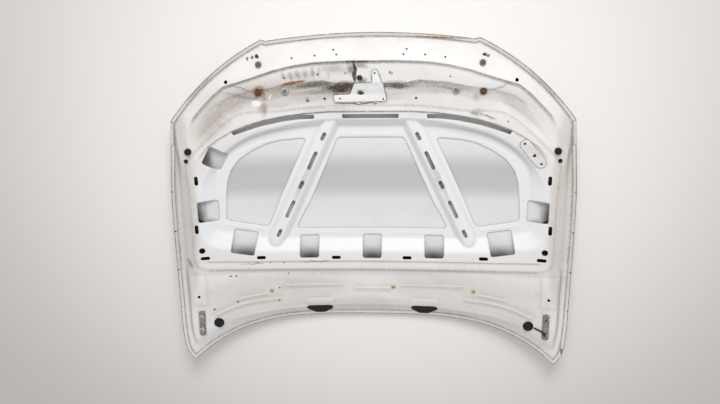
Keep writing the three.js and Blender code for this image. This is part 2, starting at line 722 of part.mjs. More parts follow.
// The flat top of a hinge pad: tilted along the panel, and high enough to clear it all over
function hingeSeat(side) {
  const x = HINGE_PAD.x * side;
  const reach = HINGE_PAD.depth / 2;
  const rise = panelHeight(x, HINGE_PAD.y + reach) - panelHeight(x, HINGE_PAD.y - reach);
  const slope = rise / HINGE_PAD.depth;
  let top = -Infinity;
  for (let across = -1; across <= 1; across += 1) {
    for (let along = -1; along <= 1; along += PAD_SAMPLE_STEP) {
      const height = panelHeight(x + (across * HINGE_PAD.width) / 2, HINGE_PAD.y + along * reach);
      top = Math.max(top, height - slope * along * reach);
    }
  }
  return { top: top + SEAT_GAP + HINGE_PAD.thickness, tilt: Math.atan(slope) };
}

function hingePad(side) {
  const shape = roundedShape(HINGE_PAD.width, HINGE_PAD.depth, HINGE_PAD.width / 2 - 1);
  const block = new THREE.ExtrudeGeometry(shape, {
    depth: PAD_BLOCK_DEPTH,
    bevelEnabled: false,
    curveSegments: 4,
  });
  block.translate(0, 0, -PAD_BLOCK_DEPTH);
  return onHingePad(solidOf(block), side).subtract(underPanel).subtract(union(hingeHoleCutters(side)));
}

function hingeBolt(side, along) {
  const flange = pillar(HINGE_BOLT_FLANGE.radius, HINGE_BOLT_FLANGE.height, ROUND_SIDES);
  const hex = pillar(HINGE_BOLT_HEX.radius, HINGE_BOLT_HEX.height, 6);
  const shank = pillar(HINGE_BOLT_RADIUS, HINGE_BOLT_LENGTH + HINGE_BOLT_FLANGE.height, SMALL_SIDES);
  const bolt = union([flange, hex, shank.translate([0, 0, -HINGE_BOLT_LENGTH])]);
  return onHingePad(bolt.translate([0, 0, SEAT_GAP]), side, along);
}

function hingeReinforcement(side) {
  const shape = roundedShape(HINGE_PLATE.width, HINGE_PLATE.depth, HINGE_PLATE.rounding);
  const plate = prism(shape, { x: HINGE_PLATE.x * side, y: HINGE_PLATE.y });
  const high = -PANEL_THICKNESS - SEAT_GAP;
  return drapedPlate(plate.subtract(union(hingeHoleCutters(side))), high - BRACKET_THICKNESS, high);
}

function latchReinforcement() {
  const holes = [prism(roundShape(LATCH_HOLE.radius + LATCH_HOLE_MARGIN, ROUND_SIDES), LATCH_HOLE)];
  for (const side of [1, -1]) {
    const hole = roundShape(BEAM_HOLE.radius + LATCH_HOLE_MARGIN);
    holes.push(prism(hole, { x: BEAM_HOLE.x * side, y: BEAM_HOLE.y }));
  }
  const plate = prism(roundedShape(LATCH_PLATE.width, LATCH_PLATE.depth, LATCH_PLATE.rounding), LATCH_PLATE);
  const cutter = plate.subtract(union(holes));
  const high = -PANEL_THICKNESS - SEAT_GAP;
  return drapedPlate(cutter, high - BRACKET_THICKNESS, high);
}

function propRodBracket() {
  const { x, y, turn, length, width } = PROP_BRACKET;
  const along = new THREE.Vector2(Math.cos(turn), Math.sin(turn));
  const placed = (offset) => ({ x: x + along.x * offset, y: y + along.y * offset, turn });
  const cutter = prism(slotShape(length, width), PROP_BRACKET, 5).subtract(union([
    prism(slotShape(PROP_SOCKET.length, PROP_SOCKET.width), placed(PROP_SOCKET.offset)),
    prism(roundShape(PROP_SCREW_RADIUS), placed(PROP_SCREW_OFFSET)),
    prism(roundShape(PROP_SCREW_RADIUS), placed(-PROP_SCREW_OFFSET)),
  ]));
  return drapedPlate(cutter, SEAT_GAP, SEAT_GAP + BRACKET_THICKNESS);
}

// A black cover on the panel whose body fills the opening under it
function washerCap(side) {
  const { length, width, thickness } = WASHER_CAP;
  const place = { ...WASHER_CAP, x: WASHER_CAP.x * side };
  const inset = 2 * (WASHER_CAP_LIP + HOLE_CLEARANCE);
  const cover = drapedPlate(prism(slotShape(length, width), place, 4), SEAT_GAP, SEAT_GAP + thickness);
  const body = drapedPlate(prism(slotShape(length - inset, width - inset), place), -WASHER_BODY_DEPTH, 1);
  return cover.add(body);
}

function masticStrip(side, strip) {
  const place = { x: strip.x * side, y: strip.y, turn: strip.turn };
  const rings = [outline, ...skinRings, ...skinFloor];
  const cutter = prism(slotShape(strip.length, MASTIC_WIDTH), place);
  return layer(rings, SEAT_GAP, SEAT_GAP + MASTIC_HEIGHT).intersect(cutter);
}

function hemPad(side) {
  const place = { x: HEM_PAD.x * side, y: HEM_PAD.y, turn: HEM_PAD.turn * side };
  const shape = roundedShape(HEM_PAD.width, HEM_PAD.depth, 2);
  const low = lipTop + SEAT_GAP;
  const strip = loftSolid(
    [lifted(hemInner, low), lifted(outline, low), lifted(outline, low + HEM_PAD.thickness),
      lifted(hemInner, low + HEM_PAD.thickness)],
    pointOver(0, FLOOR_CENTRE_Y, low),
    pointOver(0, FLOOR_CENTRE_Y, low + HEM_PAD.thickness),
  );
  return strip.intersect(prism(shape, place));
}

function groundLead() {
  const route = LEAD_POINTS.map(([x, y, rise]) => new THREE.Vector3(x, y, panelHeight(x, y) + rise));
  const section = roundShape(LEAD_RADIUS, LEAD_SIDES);
  return solidOf(new THREE.ExtrudeGeometry(section, {
    extrudePath: new THREE.CatmullRomCurve3(route),
    steps: LEAD_STEPS,
    bevelEnabled: false,
  }));
}

// Assembly

const panelFacets = facetsBetween(panelRings);
const hingeSeats = { 1: hingeSeat(1), [-1]: hingeSeat(-1) };
const group = new THREE.Group();

function addPart(name, solid, finish) {
  const { vertProperties, triVerts } = solid.simplify(FACET_TOLERANCE).getMesh();
  const geometry = new THREE.BufferGeometry();
  geometry.setAttribute('position', new THREE.BufferAttribute(Float32Array.from(vertProperties), 3));
  geometry.setIndex(new THREE.BufferAttribute(Uint32Array.from(triVerts), 1));
  geometry.computeVertexNormals();
  const mesh = new THREE.Mesh(geometry, new THREE.MeshStandardMaterial(finish));
  mesh.name = name;
  group.add(mesh);
}

addPart('outer_skin', outerSkin(), PAINT);
addPart('inner_panel', innerPanel(), PAINT);
addPart('striker_plate', strikerPlate(), BRIGHT_PAINT);
addPart('latch_reinforcement', latchReinforcement(), PAINT);
addPart('prop_rod_bracket', propRodBracket(), PAINT);
for (const [name, side] of [['left', -1], ['right', 1]]) {
  const addFitting = (kind, profile, dimensions, sides, finish) => {
    const place = { ...dimensions, x: dimensions.x * side };
    addPart(`${kind}_${name}`, turnedFitting(profile(dimensions), place, sides), finish);
  };
  addPart(`hinge_pad_${name}`, hingePad(side), BARE_METAL);
  addPart(`hinge_reinforcement_${name}`, hingeReinforcement(side), PAINT);
  addFitting('front_stop', stopProfile, FRONT_STOP, ROUND_SIDES, GREY_RUBBER);
  addFitting('side_stop', stopProfile, SIDE_STOP, ROUND_SIDES, BLACK_RUBBER);
  addFitting('side_plug', plugProfile, SIDE_PLUG, SMALL_SIDES, GREY_RUBBER);
  addFitting('beam_bolt', boltProfile, BEAM_BOLT, SMALL_SIDES, RUSTY_METAL);
  addFitting('beam_plug', plugProfile, BEAM_PLUG, ROUND_SIDES, GREY_PLASTIC);
  addFitting('rear_plug', plugProfile, REAR_PLUG, ROUND_SIDES, BLACK_RUBBER);
  addPart(`washer_cap_${name}`, washerCap(side), BLACK_RUBBER);
  addPart(`hem_pad_${name}`, hemPad(side), PAINT);
  for (const [place, strip] of Object.entries(MASTIC_STRIPS)) {
    addPart(`mastic_${place}_${name}`, masticStrip(side, strip), MASTIC);
  }
}
for (const [name, [x, y]] of Object.entries(CLIP_PLACES)) {
  addPart(`clip_${name}`, turnedFitting(plugProfile(CLIP), { ...CLIP, x, y }, SMALL_SIDES), YELLOW_PLASTIC);
}
addPart('hinge_bolt_front', hingeBolt(-1, HINGE_BOLT_OFFSETS[0]), BARE_METAL);
addPart('hinge_bolt_rear', hingeBolt(-1, HINGE_BOLT_OFFSETS[1]), BARE_METAL);
addPart('ground_lead', groundLead(), BLACK_RUBBER);

// The origin is the middle of the underside of the bounding box
const box = new THREE.Box3().setFromObject(group);
const centre = box.getCenter(new THREE.Vector3());
group.position.set(-centre.x, -centre.y, -box.min.z);

export default group;
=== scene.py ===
"""Looks of a used white car bonnet that lies on its outer skin with its inner side up.

Shapes are worked out in millimetres over the outer skin's form, on the same press lines as the CAD part,
and put into the CAD part's frame, in metres, when a mesh is made.
"""

import json
import logging
import math
from collections.abc import Callable, Iterable, Sequence
from dataclasses import dataclass, field, replace
from enum import Enum

import bpy
import numpy as np
from mathutils import Matrix, Vector
from mathutils.geometry import delaunay_2d_cdt
from mathutils.kdtree import KDTree

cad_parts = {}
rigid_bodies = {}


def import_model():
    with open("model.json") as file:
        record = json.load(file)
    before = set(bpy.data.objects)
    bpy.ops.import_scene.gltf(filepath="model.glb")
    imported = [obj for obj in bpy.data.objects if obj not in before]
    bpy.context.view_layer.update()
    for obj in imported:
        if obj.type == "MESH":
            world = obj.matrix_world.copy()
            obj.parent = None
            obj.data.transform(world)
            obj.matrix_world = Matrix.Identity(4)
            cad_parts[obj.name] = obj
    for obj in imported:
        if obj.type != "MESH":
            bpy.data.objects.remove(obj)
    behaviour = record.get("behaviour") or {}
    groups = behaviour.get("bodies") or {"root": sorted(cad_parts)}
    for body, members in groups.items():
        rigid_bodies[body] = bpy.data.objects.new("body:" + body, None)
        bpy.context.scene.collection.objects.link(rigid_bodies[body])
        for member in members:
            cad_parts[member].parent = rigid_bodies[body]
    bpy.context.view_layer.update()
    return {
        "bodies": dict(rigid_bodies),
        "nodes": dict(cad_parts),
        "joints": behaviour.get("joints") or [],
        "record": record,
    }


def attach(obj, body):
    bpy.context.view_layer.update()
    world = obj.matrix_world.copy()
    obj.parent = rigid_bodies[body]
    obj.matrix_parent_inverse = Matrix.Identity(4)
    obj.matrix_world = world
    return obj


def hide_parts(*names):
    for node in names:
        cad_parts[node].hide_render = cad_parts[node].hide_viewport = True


LOG = logging.getLogger("bonnet")

# Sizes that several pieces share, in millimetres but for the first

MM = 0.001
FRAME_SHIFT_Y = 31.0
LIP_TOP = 2.8
SEAT_GAP = 0.3
PLATE_THICKNESS = 1.6
EDGE_ROUNDING = 0.5

# Kinds of values

Place = tuple[float, float]
Places = tuple[Place, ...]
Place3 = tuple[float, float, float]
Color = tuple[float, float, float]
Array = np.ndarray
Material = bpy.types.Material
Materials = Sequence[Material]
Piece = bpy.types.Object
Socket = bpy.types.NodeSocket
Feeds = Sequence[object] | dict[str, object]
Line = tuple[tuple[float, ...], ...]
PressLine = tuple[Line, ...]
Counts = tuple[int, ...]
HeightAt = Callable[[Array, Array], Array]


class Side(Enum):
    """The two halves of the bonnet."""

    LEFT = -1
    RIGHT = 1

    @property
    def word(self) -> str:
        """The side's name as the CAD nodes spell it."""
        return self.name.lower()


# Curves and outlines in plan


def spaced(points: Iterable[Sequence[float]], steps: int) -> Array:
    """Samples a centripetal Catmull-Rom curve at even distances.

    Args:
        points: The knots, each x, y and maybe a height, in millimetres.
        steps: The number of stretches between samples.

    Returns:
        An array of steps + 1 points with three columns.
    """
    knots = np.array([list(p) + [0.0] * (3 - len(p)) for p in points])
    padded = np.vstack([2 * knots[0] - knots[1], knots, 2 * knots[-1] - knots[-2]])
    share = np.linspace(0, 1, 33)[:, None]
    dense = []
    for before, start, end, after in zip(padded, padded[1:], padded[2:], padded[3:]):
        gaps = [math.sqrt(np.linalg.norm(b - a)) for a, b in ((before, start), (start, end), (end, after))]
        leave = (start - before) / gaps[0] - (end - before) / (gaps[0] + gaps[1]) + (end - start) / gaps[1]
        reach = (end - start) / gaps[1] - (after - start) / (gaps[1] + gaps[2]) + (after - end) / gaps[2]
        leave, reach = leave * gaps[1], reach * gaps[1]
        square = -3 * start + 3 * end - 2 * leave - reach
        cube = 2 * start - 2 * end + leave + reach
        dense.append(start + leave * share + square * share**2 + cube * share**3)
    curve = np.vstack(dense)
    length = np.concatenate([[0], np.cumsum(np.linalg.norm(np.diff(curve, axis=0), axis=1))])
    wanted = np.linspace(0, length[-1], steps + 1)
    return np.stack([np.interp(wanted, length, curve[:, axis]) for axis in range(3)], axis=1)


def smoothstep(low: float, high: float, value: Array) -> Array:
    """Rises smoothly from 0 at low to 1 at high."""
    share = np.clip((value - low) / (high - low), 0, 1)
    return share * share * (3 - 2 * share)


def distance_to(places: Array, path: Array, closed: bool) -> Array:
    """Measures how far places lie from a path.

    Args:
        places: An array of x, y rows.
        path: The path's corners.
        closed: Whether the last corner joins the first.

    Returns:
        The shortest distance of each place.
    """
    ends = np.vstack([path[1:], path[:1]]) if closed else path[1:]
    starts = path if closed else path[:-1]
    nearest = np.full(len(places), np.inf)
    for start, end in zip(starts, ends):
        run = end - start
        share = np.clip(((places - start) @ run) / max(run @ run, 1e-9), 0, 1)
        gap = np.linalg.norm(places - (start + share[:, None] * run), axis=1)
        nearest = np.minimum(nearest, gap)
    return nearest


@dataclass(frozen=True)
class Outline:
    """A closed counter-clockwise outline in plan, with points a few millimetres apart."""

    points: Array

    @staticmethod
    def rounded(corners: Iterable[Place], radius: float, step: float = 4.0) -> "Outline":
        """Rounds the corners of a polygon.

        Args:
            corners: The polygon's corners, either way round.
            radius: How far from each corner its rounding starts.
            step: The largest distance between points.

        Returns:
            The rounded outline.
        """
        path = np.array(list(corners), float)
        following = np.roll(path, -1, axis=0)
        if np.sum(path[:, 0] * following[:, 1] - following[:, 0] * path[:, 1]) < 0:
            path = path[::-1]
        points = []
        for index, corner in enumerate(path):
            before, after = path[index - 1], path[(index + 1) % len(path)]
            back, ahead = before - corner, after - corner
            reach = min(radius, np.linalg.norm(back) * 0.48, np.linalg.norm(ahead) * 0.48)
            start = corner + back / np.linalg.norm(back) * reach
            end = corner + ahead / np.linalg.norm(ahead) * reach
            count = max(2, int(math.ceil(reach * 1.6 / min(step, 2.5))))
            for share in np.linspace(0, 1, count + 1):
                points.append((1 - share) ** 2 * start + 2 * share * (1 - share) * corner + share**2 * end)
        return Outline(refined(np.array(points), step))

    @staticmethod
    def slot(centre: Place, length: float, width: float, turn: float = 0.0, step: float = 3.0) -> "Outline":
        """A slot with round ends, or a round hole where length and width agree."""
        reach = (length - width) / 2
        angles = np.linspace(-math.pi / 2, math.pi / 2, 11)
        cap = np.stack([np.cos(angles), np.sin(angles)], axis=1) * width / 2
        points = np.vstack([cap + [reach, 0], -cap - [reach, 0]])
        if reach < 1e-6:
            points = np.vstack([cap[:-1], -cap[:-1]])
        return Outline(refined(points @ turned(turn).T + centre, step))

    @staticmethod
    def box(centre: Place, width: float, depth: float, radius: float, turn: float = 0.0) -> "Outline":
        """A rectangle with rounded corners."""
        corners = np.array([[1, 1], [-1, 1], [-1, -1], [1, -1]]) * [width / 2, depth / 2]
        return Outline.rounded(corners @ turned(turn).T + centre, radius)

    def row(self, offset: float) -> Array:
        """The outline's points moved outwards by an offset, or inwards where it is negative."""
        along = np.roll(self.points, -1, axis=0) - np.roll(self.points, 1, axis=0)
        normal = np.stack([along[:, 1], -along[:, 0]], axis=1)
        return self.points + offset * normal / np.maximum(np.linalg.norm(normal, axis=1), 1e-9)[:, None]

    def near(self, places: Array, reach: float) -> Array:
        """Picks the places in the outline's box, widened by a reach."""
        low, high = self.points.min(0) - reach, self.points.max(0) + reach
        return np.all((places >= low) & (places <= high), axis=1)

    def holds(self, places: Array) -> Array:
        """Tells which places lie inside."""
        inside = np.zeros(len(places), bool)
        picked = np.flatnonzero(self.near(places, 0))
        x, y = places[picked].T
        crossed = np.zeros(len(picked), bool)
        for start, end in zip(self.points, np.roll(self.points, -1, axis=0)):
            spans = (start[1] > y) != (end[1] > y)
            if spans.any():
                meet = start[0] + (y - start[1]) / (end[1] - start[1] + 1e-12) * (end[0] - start[0])
                crossed ^= spans & (x < meet)
        inside[picked] = crossed
        return inside

    def depth(self, places: Array, reach: float) -> Array:
        """Signed distance in from the outline: above 0 inside, and never past the reach."""
        result = np.full(len(places), -reach)
        picked = self.near(places, reach)
        gap = np.minimum(distance_to(places[picked], self.points, True), reach)
        result[picked] = np.where(self.holds(places[picked]), gap, -gap)
        return result

    def mirrored(self) -> "Outline":
        """The outline on the other half of the bonnet."""
        return Outline((self.points * [-1, 1])[::-1])


def refined(points: Array, step: float) -> Array:
    """Adds points to a closed path so that none is further than a step from the next."""
    result = []
    for start, end in zip(points, np.roll(points, -1, axis=0)):
        gap = np.linalg.norm(end - start)
        if gap > 1e-3:
            count = int(math.ceil(gap / step))
            result.extend(start + (end - start) * np.arange(count)[:, None] / count)
    return np.array(result)


def turned(angle: float) -> Array:
    """The plan rotation by an angle in radians."""
    return np.array([[math.cos(angle), -math.sin(angle)], [math.sin(angle), math.cos(angle)]])


def normals_along(path: Array) -> Array:
    """Unit normals of an open path in plan."""
    along = np.gradient(path, axis=0)
    return np.stack([along[:, 1], -along[:, 0]], axis=1) / np.linalg.norm(along, axis=1)[:, None]


def circle(sides: int) -> Array:
    """Places evenly round a circle of radius 1."""
    angle = np.arange(sides) * 2 * math.pi / sides
    return np.stack([np.cos(angle), np.sin(angle)], axis=1)


# Forms


@dataclass(frozen=True)
class SkinForm:
    """The crowned form that every sheet follows, and the bonnet's outline."""

    crown_across: float = 1.2e-4
    crown_along: float = 1.0e-4
    side_crease_x: float = 575
    side_turn: float = 0.08
    nose_start_y: float = 470
    nose_roll: float = 1.0e-3
    front_y: float = 607
    front_sag: float = 24
    notch_x: float = 336
    front_corner: Place = (350, 588)
    corner_bulge: float = 26
    shoulder: Place = (666, 327)
    side_points: Line = ((666, 327), (674, 238), (686, 93), (689, -60), (688, -200))
    rear_side_points: Line = ((688, -200), (686, -300), (681, -440), (669, -508), (645, -545))
    rear_tip: Place = (645, -545)
    rear_y: float = -386
    rear_arc_power: float = 3.65
    floor_lift: float = 0.935
    stretch_steps: Counts = (6, 8, 5, 7, 8)
    refinement: int = 8

    def height(self, x: Array, y: Array) -> Array:
        """Height of the skin's inner face."""
        side = self.side_turn * np.maximum(0, np.abs(x) - self.side_crease_x)
        nose = self.nose_roll * np.maximum(0, y - self.nose_start_y) ** 2
        return self.crown_across * x * x + self.crown_along * y * y + side + nose

    def steps(self, stretch: int) -> int:
        """Fine steps along one of the five stretches of a half ring."""
        return self.stretch_steps[stretch] * self.refinement

    def ring(self, stretches: Sequence[Array]) -> Array:
        """Joins five stretches and their mirror image into a closed clockwise ring."""
        half = np.vstack([stretches[0], *[stretch[1:] for stretch in stretches[1:]]])
        return np.vstack([half, half[-2:0:-1] * [-1, 1, 1]])

    def outline(self) -> Array:
        """The bonnet's outline as a closed ring."""
        notch_steps = self.refinement
        share = np.linspace(0, 1, self.steps(0) - notch_steps + 1)
        arc = np.stack([self.notch_x * share, self.front_y - self.front_sag * share**2, 0 * share], axis=1)
        corner = np.array([*self.front_corner, 0.0])
        notch = arc[-1] + (corner - arc[-1]) * np.linspace(0, 1, notch_steps + 1)[1:, None]

        end = np.array([*self.shoulder, 0.0])
        outward = np.array([corner[1] - end[1], end[0] - corner[0], 0.0])
        control = (corner + end) / 2 + outward / np.linalg.norm(outward) * 2 * self.corner_bulge
        bend = np.linspace(0, 1, 41)[:, None]
        diagonal = (1 - bend) ** 2 * corner + 2 * bend * (1 - bend) * control + bend**2 * end

        back = 1 - np.linspace(0, 1, self.steps(4) + 1)
        rear_y = self.rear_y + (self.rear_tip[1] - self.rear_y) * back**self.rear_arc_power
        rear = np.stack([self.rear_tip[0] * back, rear_y, 0 * back], axis=1)
        return self.ring([
            np.vstack([arc, notch]),
            spaced(diagonal, self.steps(1)),
            spaced(self.side_points, self.steps(2)),
            spaced(self.rear_side_points, self.steps(3)),
            rear,
        ])

    def inset(self, distance: float) -> Array:
        """The outline moved inwards, turning evenly between its main points so that it never folds.

        Args:
            distance: How far in from both edges that meet at each main point.

        Returns:
            A ring with as many points as the outline.
        """
        fine = self.outline()
        main = fine[:: self.refinement, :2]
        before = main - np.roll(main, 1, axis=0)
        after = np.roll(main, -1, axis=0) - main
        normals = [np.stack([run[:, 1], -run[:, 0]], axis=1) for run in (before, after)]
        first, second = [normal / np.linalg.norm(normal, axis=1)[:, None] for normal in normals]
        middle = first + second
        middle /= np.linalg.norm(middle, axis=1)[:, None]
        shift = middle * (distance / np.sum(middle * first, axis=1))[:, None]
        share = np.tile(np.arange(self.refinement) / self.refinement, len(main))[:, None]
        start = np.repeat(shift, self.refinement, axis=0)
        end = np.repeat(np.roll(shift, -1, axis=0), self.refinement, axis=0)
        moved = fine.copy()
        moved[:, :2] += start + (end - start) * share
        return moved

    def in_frame(self, points: Array) -> Array:
        """Puts points in millimetres into the CAD part's frame, in metres."""
        return (points + [0, -(self.front_y + self.rear_tip[1]) / 2, self.floor_lift]) * MM


@dataclass(frozen=True)
class Relief:
    """A raised or sunken field or bead, added to the pressed form.

    Attributes:
        path: The field's outline, or the bead's line.
        rise: How far it stands up, or down where it is negative.
        soft: How wide its edge is, or half the bead's width.
        closed: Whether the path is a field's outline.
    """

    path: Array
    rise: float
    soft: float
    closed: bool = True

    def height(self, places: Array) -> Array:
        """How much the relief adds at some places."""
        result = np.zeros(len(places))
        reach = self.soft * 1.05
        low, high = self.path.min(0) - reach, self.path.max(0) + reach
        picked = np.all((places >= low) & (places <= high), axis=1)
        if not picked.any():
            return result
        if self.closed:
            depth = Outline(self.path).depth(places[picked], reach)
            result[picked] = self.rise * smoothstep(-self.soft / 2, self.soft / 2, depth)
        else:
            gap = distance_to(places[picked], self.path, False)
            result[picked] = self.rise * (1 - smoothstep(0, self.soft, gap))
        return result

    def rows(self) -> Array:
        """Mesh points that follow the relief's edge or line."""
        if self.closed:
            outline = Outline(refined(self.path, 4.0))
            return np.vstack([outline.row(offset) for offset in (-self.soft / 2, 0.0, self.soft / 2)])
        normal = normals_along(self.path)
        return np.vstack([self.path + normal * self.soft * share for share in (-1, -0.55, 0, 0.55, 1)])


@dataclass(frozen=True)
class Ledge:
    """A sharp line in the pressed form, alike on both halves, behind which the sheet drops and a painted
    shadow lies, mixed with the dirt that gathers there.

    Attributes:
        line: Places along it on the right half, from the middle outwards.
        drop: How far the sheet drops behind it.
        sharp: How wide the drop is.
        recovery: How wide the slope is on which the sheet comes up again.
        soot_and_shadow: How strong its dirt and painted shadow are, as x and strength pairs over the whole
            width.
        dirty: How wide the dirt and painted shadow are before they fade.
        fade: How far it fades.
        taper: The length over which the ledge fades out at its ends.
        spacing: The distance between mesh points along it.
        front: How far in front of the line its dirt and painted shadow start.
    """

    line: Places
    drop: float
    sharp: float
    recovery: float
    soot_and_shadow: Places
    dirty: float = 4.0
    fade: float = 9.0
    taper: float = 25.0
    spacing: float = 3.5
    front: float = 1.5

    def behind(self, x: Array, y: Array) -> Array:
        """Distance of places behind the line, below 0 in front of it."""
        knots = np.array(self.line)
        across = np.abs(x)
        slopes = np.gradient(knots[:, 1], knots[:, 0])
        slope = np.interp(across, knots[:, 0], slopes)
        return (np.interp(across, knots[:, 0], knots[:, 1]) - y) / np.sqrt(1 + slope**2)

    def presence(self, x: Array) -> Array:
        """1 along the line, fading to 0 at its ends."""
        end = self.line[-1][0]
        return 1 - smoothstep(end - self.taper, end, np.abs(x))

    def height(self, x: Array, y: Array) -> Array:
        """How much the ledge adds at some places."""
        gap = self.behind(x, y)
        down = smoothstep(0, self.sharp, gap) * (1 - smoothstep(self.sharp, self.sharp + self.recovery, gap))
        return -self.drop * down * self.presence(x)

    def dirt(self, x: Array, y: Array) -> Array:
        """How strong the dirt and painted shadow are at some places."""
        gap = self.behind(x, y)
        near = smoothstep(-self.front, 0.5, gap) * (1 - smoothstep(self.dirty, self.dirty + self.fade, gap))
        return near * self.presence(x) * np.interp(x, *np.array(self.soot_and_shadow).T)

    def rows(self) -> Array:
        """Mesh points along both sides of the line."""
        path = spaced(self.line, int(self.line[-1][0] / self.spacing))[:, :2]
        normal = normals_along(path)
        offsets = (-1.6, 0.4, 2.0, self.dirty, self.dirty + self.fade * 0.5, self.dirty + self.fade)
        points = np.vstack([path + normal * offset for offset in offsets])
        return np.vstack([points, points * [-1, 1]])


@dataclass(frozen=True)
class PanelForm:
    """The inner panel's pressed form, as heights over the skin on the same press lines as the CAD part."""

    skin: SkinForm
    thickness: float = 0.9
    edge_gap: float = 2.0
    hem_foot: float = 13.0
    edge_height: float = 1.5
    band: PressLine = (
        ((0, 518, 38), (91, 518, 38), (182, 514, 38), (248, 505, 38), (315, 490, 38), (384, 468, 37)),
        ((437, 452, 36), (480, 440, 34), (516, 412, 32), (549, 380, 30), (584, 344, 27), (616, 298, 22),
         (648, 250, 14)),
        ((651, 160, 7), (653, 60, 6), (655, -80, 6), (655, -200, 6)),
        ((652, -315, 6), (648, -430, 6), (641, -473, 6), (632, -492, 7)),
        ((575, -438, 15), (517, -402, 19), (426, -376, 20), (325, -361, 20), (121, -344, 20),
         (0, -344, 20)),
    )
    step_top: PressLine = (
        ((0, 446, 38), (121, 448, 38), (155, 456, 38), (250, 449, 38), (325, 434, 37)),
        ((400, 425, 32), (470, 405, 25), (520, 372, 21), (560, 328, 21), (598, 278, 22), (626, 250, 22),
         (646, 240, 16)),
        ((649, 150, 9), (651, 0, 8), (652, -200, 8)),
        ((646, -226, 18), (641, -262, 24), (640, -400, 23), (628, -462, 20)),
        ((560, -406, 23), (500, -374, 24), (400, -348, 24), (250, -330, 25), (100, -321, 25),
         (0, -321, 25)),
    )
    step_foot: PressLine = (
        ((0, 408, 26), (150, 412, 26), (283, 408, 26), (330, 396, 26)),
        ((400, 392, 24), (460, 370, 20), (510, 336, 20), (555, 294, 21), (598, 250, 25), (644, 215, 25)),
        ((647, 140, 12), (649, 60, 9), (650, -195, 9)),
        ((643, -216, 19), (618, -222, 23), (590, -219, 23)),
        ((432, -216, 22), (200, -217, 22), (0, -217, 22)),
    )
    ridge_outer: PressLine = (
        ((0, 371, 26), (138, 370, 26), (220, 364, 26), (300, 354, 26)),
        ((380, 353, 26), (440, 346, 27), (516, 293, 29), (576, 236, 29), (612, 199, 28), (626, 170, 28)),
        ((622, 100, 28), (620, 0, 28), (622, -140, 28)),
        ((620, -168, 28), (610, -188, 28), (589, -200, 28)),
        ((432, -205, 27), (200, -208, 27), (0, -208, 27)),
    )
    rim_outer: PressLine = (
        ((0, 357, 28), (138, 357, 28), (220, 350, 28), (289, 340, 28)),
        ((355, 325, 28), (418, 306, 29), (465, 286, 29), (512, 263, 30), (550, 236, 30), (598, 178, 30),
         (612, 135, 30)),
        ((611, 75, 30), (612, 0, 30), (612, -110, 30)),
        ((610, -145, 30), (602, -163, 30), (585, -170, 29)),
        ((430, -175, 29), (200, -177, 29), (0, -177, 29)),
    )
    wall_top: PressLine = (
        ((0, 327, 27), (138, 327, 27), (220, 319, 27), (280, 308, 27)),
        ((345, 292, 27), (405, 272, 27), (455, 246, 27), (500, 214, 27), (540, 172, 27), (578, 110, 27)),
        ((586, 60, 27), (588, 0, 27), (586, -70, 27)),
        ((580, -95, 27), (562, -112, 27), (530, -124, 27)),
        ((394, -138, 27), (253, -142, 27), (0, -142, 27)),
    )
    wall_foot: PressLine = (
        ((0, 299, 4), (138, 301, 4), (200, 300, 4), (270, 295, 4)),
        ((330, 286, 4), (404, 266, 4), (463, 233, 4), (505, 193, 4), (532, 150, 4), (542, 95, 4)),
        ((543, 46, 4), (543, 0, 4), (543, -38, 4)),
        ((541, -55, 4), (530, -64, 4), (505, -70, 4)),
        ((389, -89, 4), (255, -96, 4), (0, -98, 4)),
    )
    floor_scales: tuple[float, ...] = (0.86, 0.6, 0.3)
    floor_centre_y: float = 95
    band_rows: Counts = (9, 8, 7, 7, 5, 6, 9, 8, 8, 8)
    rib_start: Place = (153, 281)
    rib_along: Place = (0.4325, -0.9016)
    rib_reach: tuple[float, float] = (-60, 428)
    rib_top_half: float = 14
    rib_foot_half: float = 31
    rib_height: float = 22
    cell: float = 2.0
    fillet: float = 1.9
    low: Place = (-704, -564)
    high: Place = (704, 624)
    row_gap: float = 2.2
    rib_clear: float = 6
    rib_step: float = 6
    rib_offsets: tuple[float, ...] = (0, 5, 9.5, 12, 14, 16, 19, 23, 27, 29.5, 31, 33, 36)
    # Each ledge paints a shadow under its line, mixed with dirt; the last two only paint it, with no drop in
    # the sheet.
    ledges: tuple[Ledge, ...] = (
        Ledge(
            ((0, 518), (91, 518), (182, 514), (248, 505), (315, 490), (384, 468), (437, 452),
             (480, 440), (516, 412), (549, 380), (584, 344), (606, 312)),
            2.6, 4, 26,
            ((-600, 0.35), (-300, 0.6), (-90, 0.62), (-60, 1.0), (-20, 1.0), (0, 0.65), (150, 0.45),
             (300, 0.35), (450, 0.5), (600, 0.3)),
        ),
        Ledge(
            ((0, 446), (121, 448), (155, 456), (250, 449), (325, 434), (400, 425), (470, 405), (520, 372)),
            1.2, 4, 20,
            ((-500, 0.15), (-240, 0.35), (-60, 0.8), (60, 0.75), (150, 0.5), (240, 0.4), (420, 0.15)),
            12, 16,
        ),
        Ledge(
            ((0, 353), (138, 353), (220, 348), (289, 339), (355, 327), (418, 310), (465, 291),
             (512, 265), (550, 238), (590, 190)),
            1.3, 2.5, 9,
            ((-600, 0.3), (-250, 0.75), (0, 0.6), (250, 0.6), (420, 0.45), (600, 0.3)),
            2.2, 4,
        ),
        Ledge(
            ((0, -177), (200, -177), (430, -175), (592, -169)),
            1.5, 3, 22, ((-600, 0.3), (600, 0.3)), 2.2, 4,
        ),
        Ledge(
            ((0, -209), (200, -209), (432, -206), (589, -202)),
            0.0, 3, 9, ((-600, 0.35), (600, 0.35)), 3, 7,
        ),
        Ledge(
            ((0, -345), (121, -345), (325, -361), (426, -377), (517, -403), (575, -439), (628, -490)),
            0.0, 3, 9, ((-600, 0.11), (600, 0.11)), 24, 12,
        ),
    )
    reliefs: list[Relief] = field(default_factory=list)
    grid: dict[str, Array] = field(default_factory=dict)

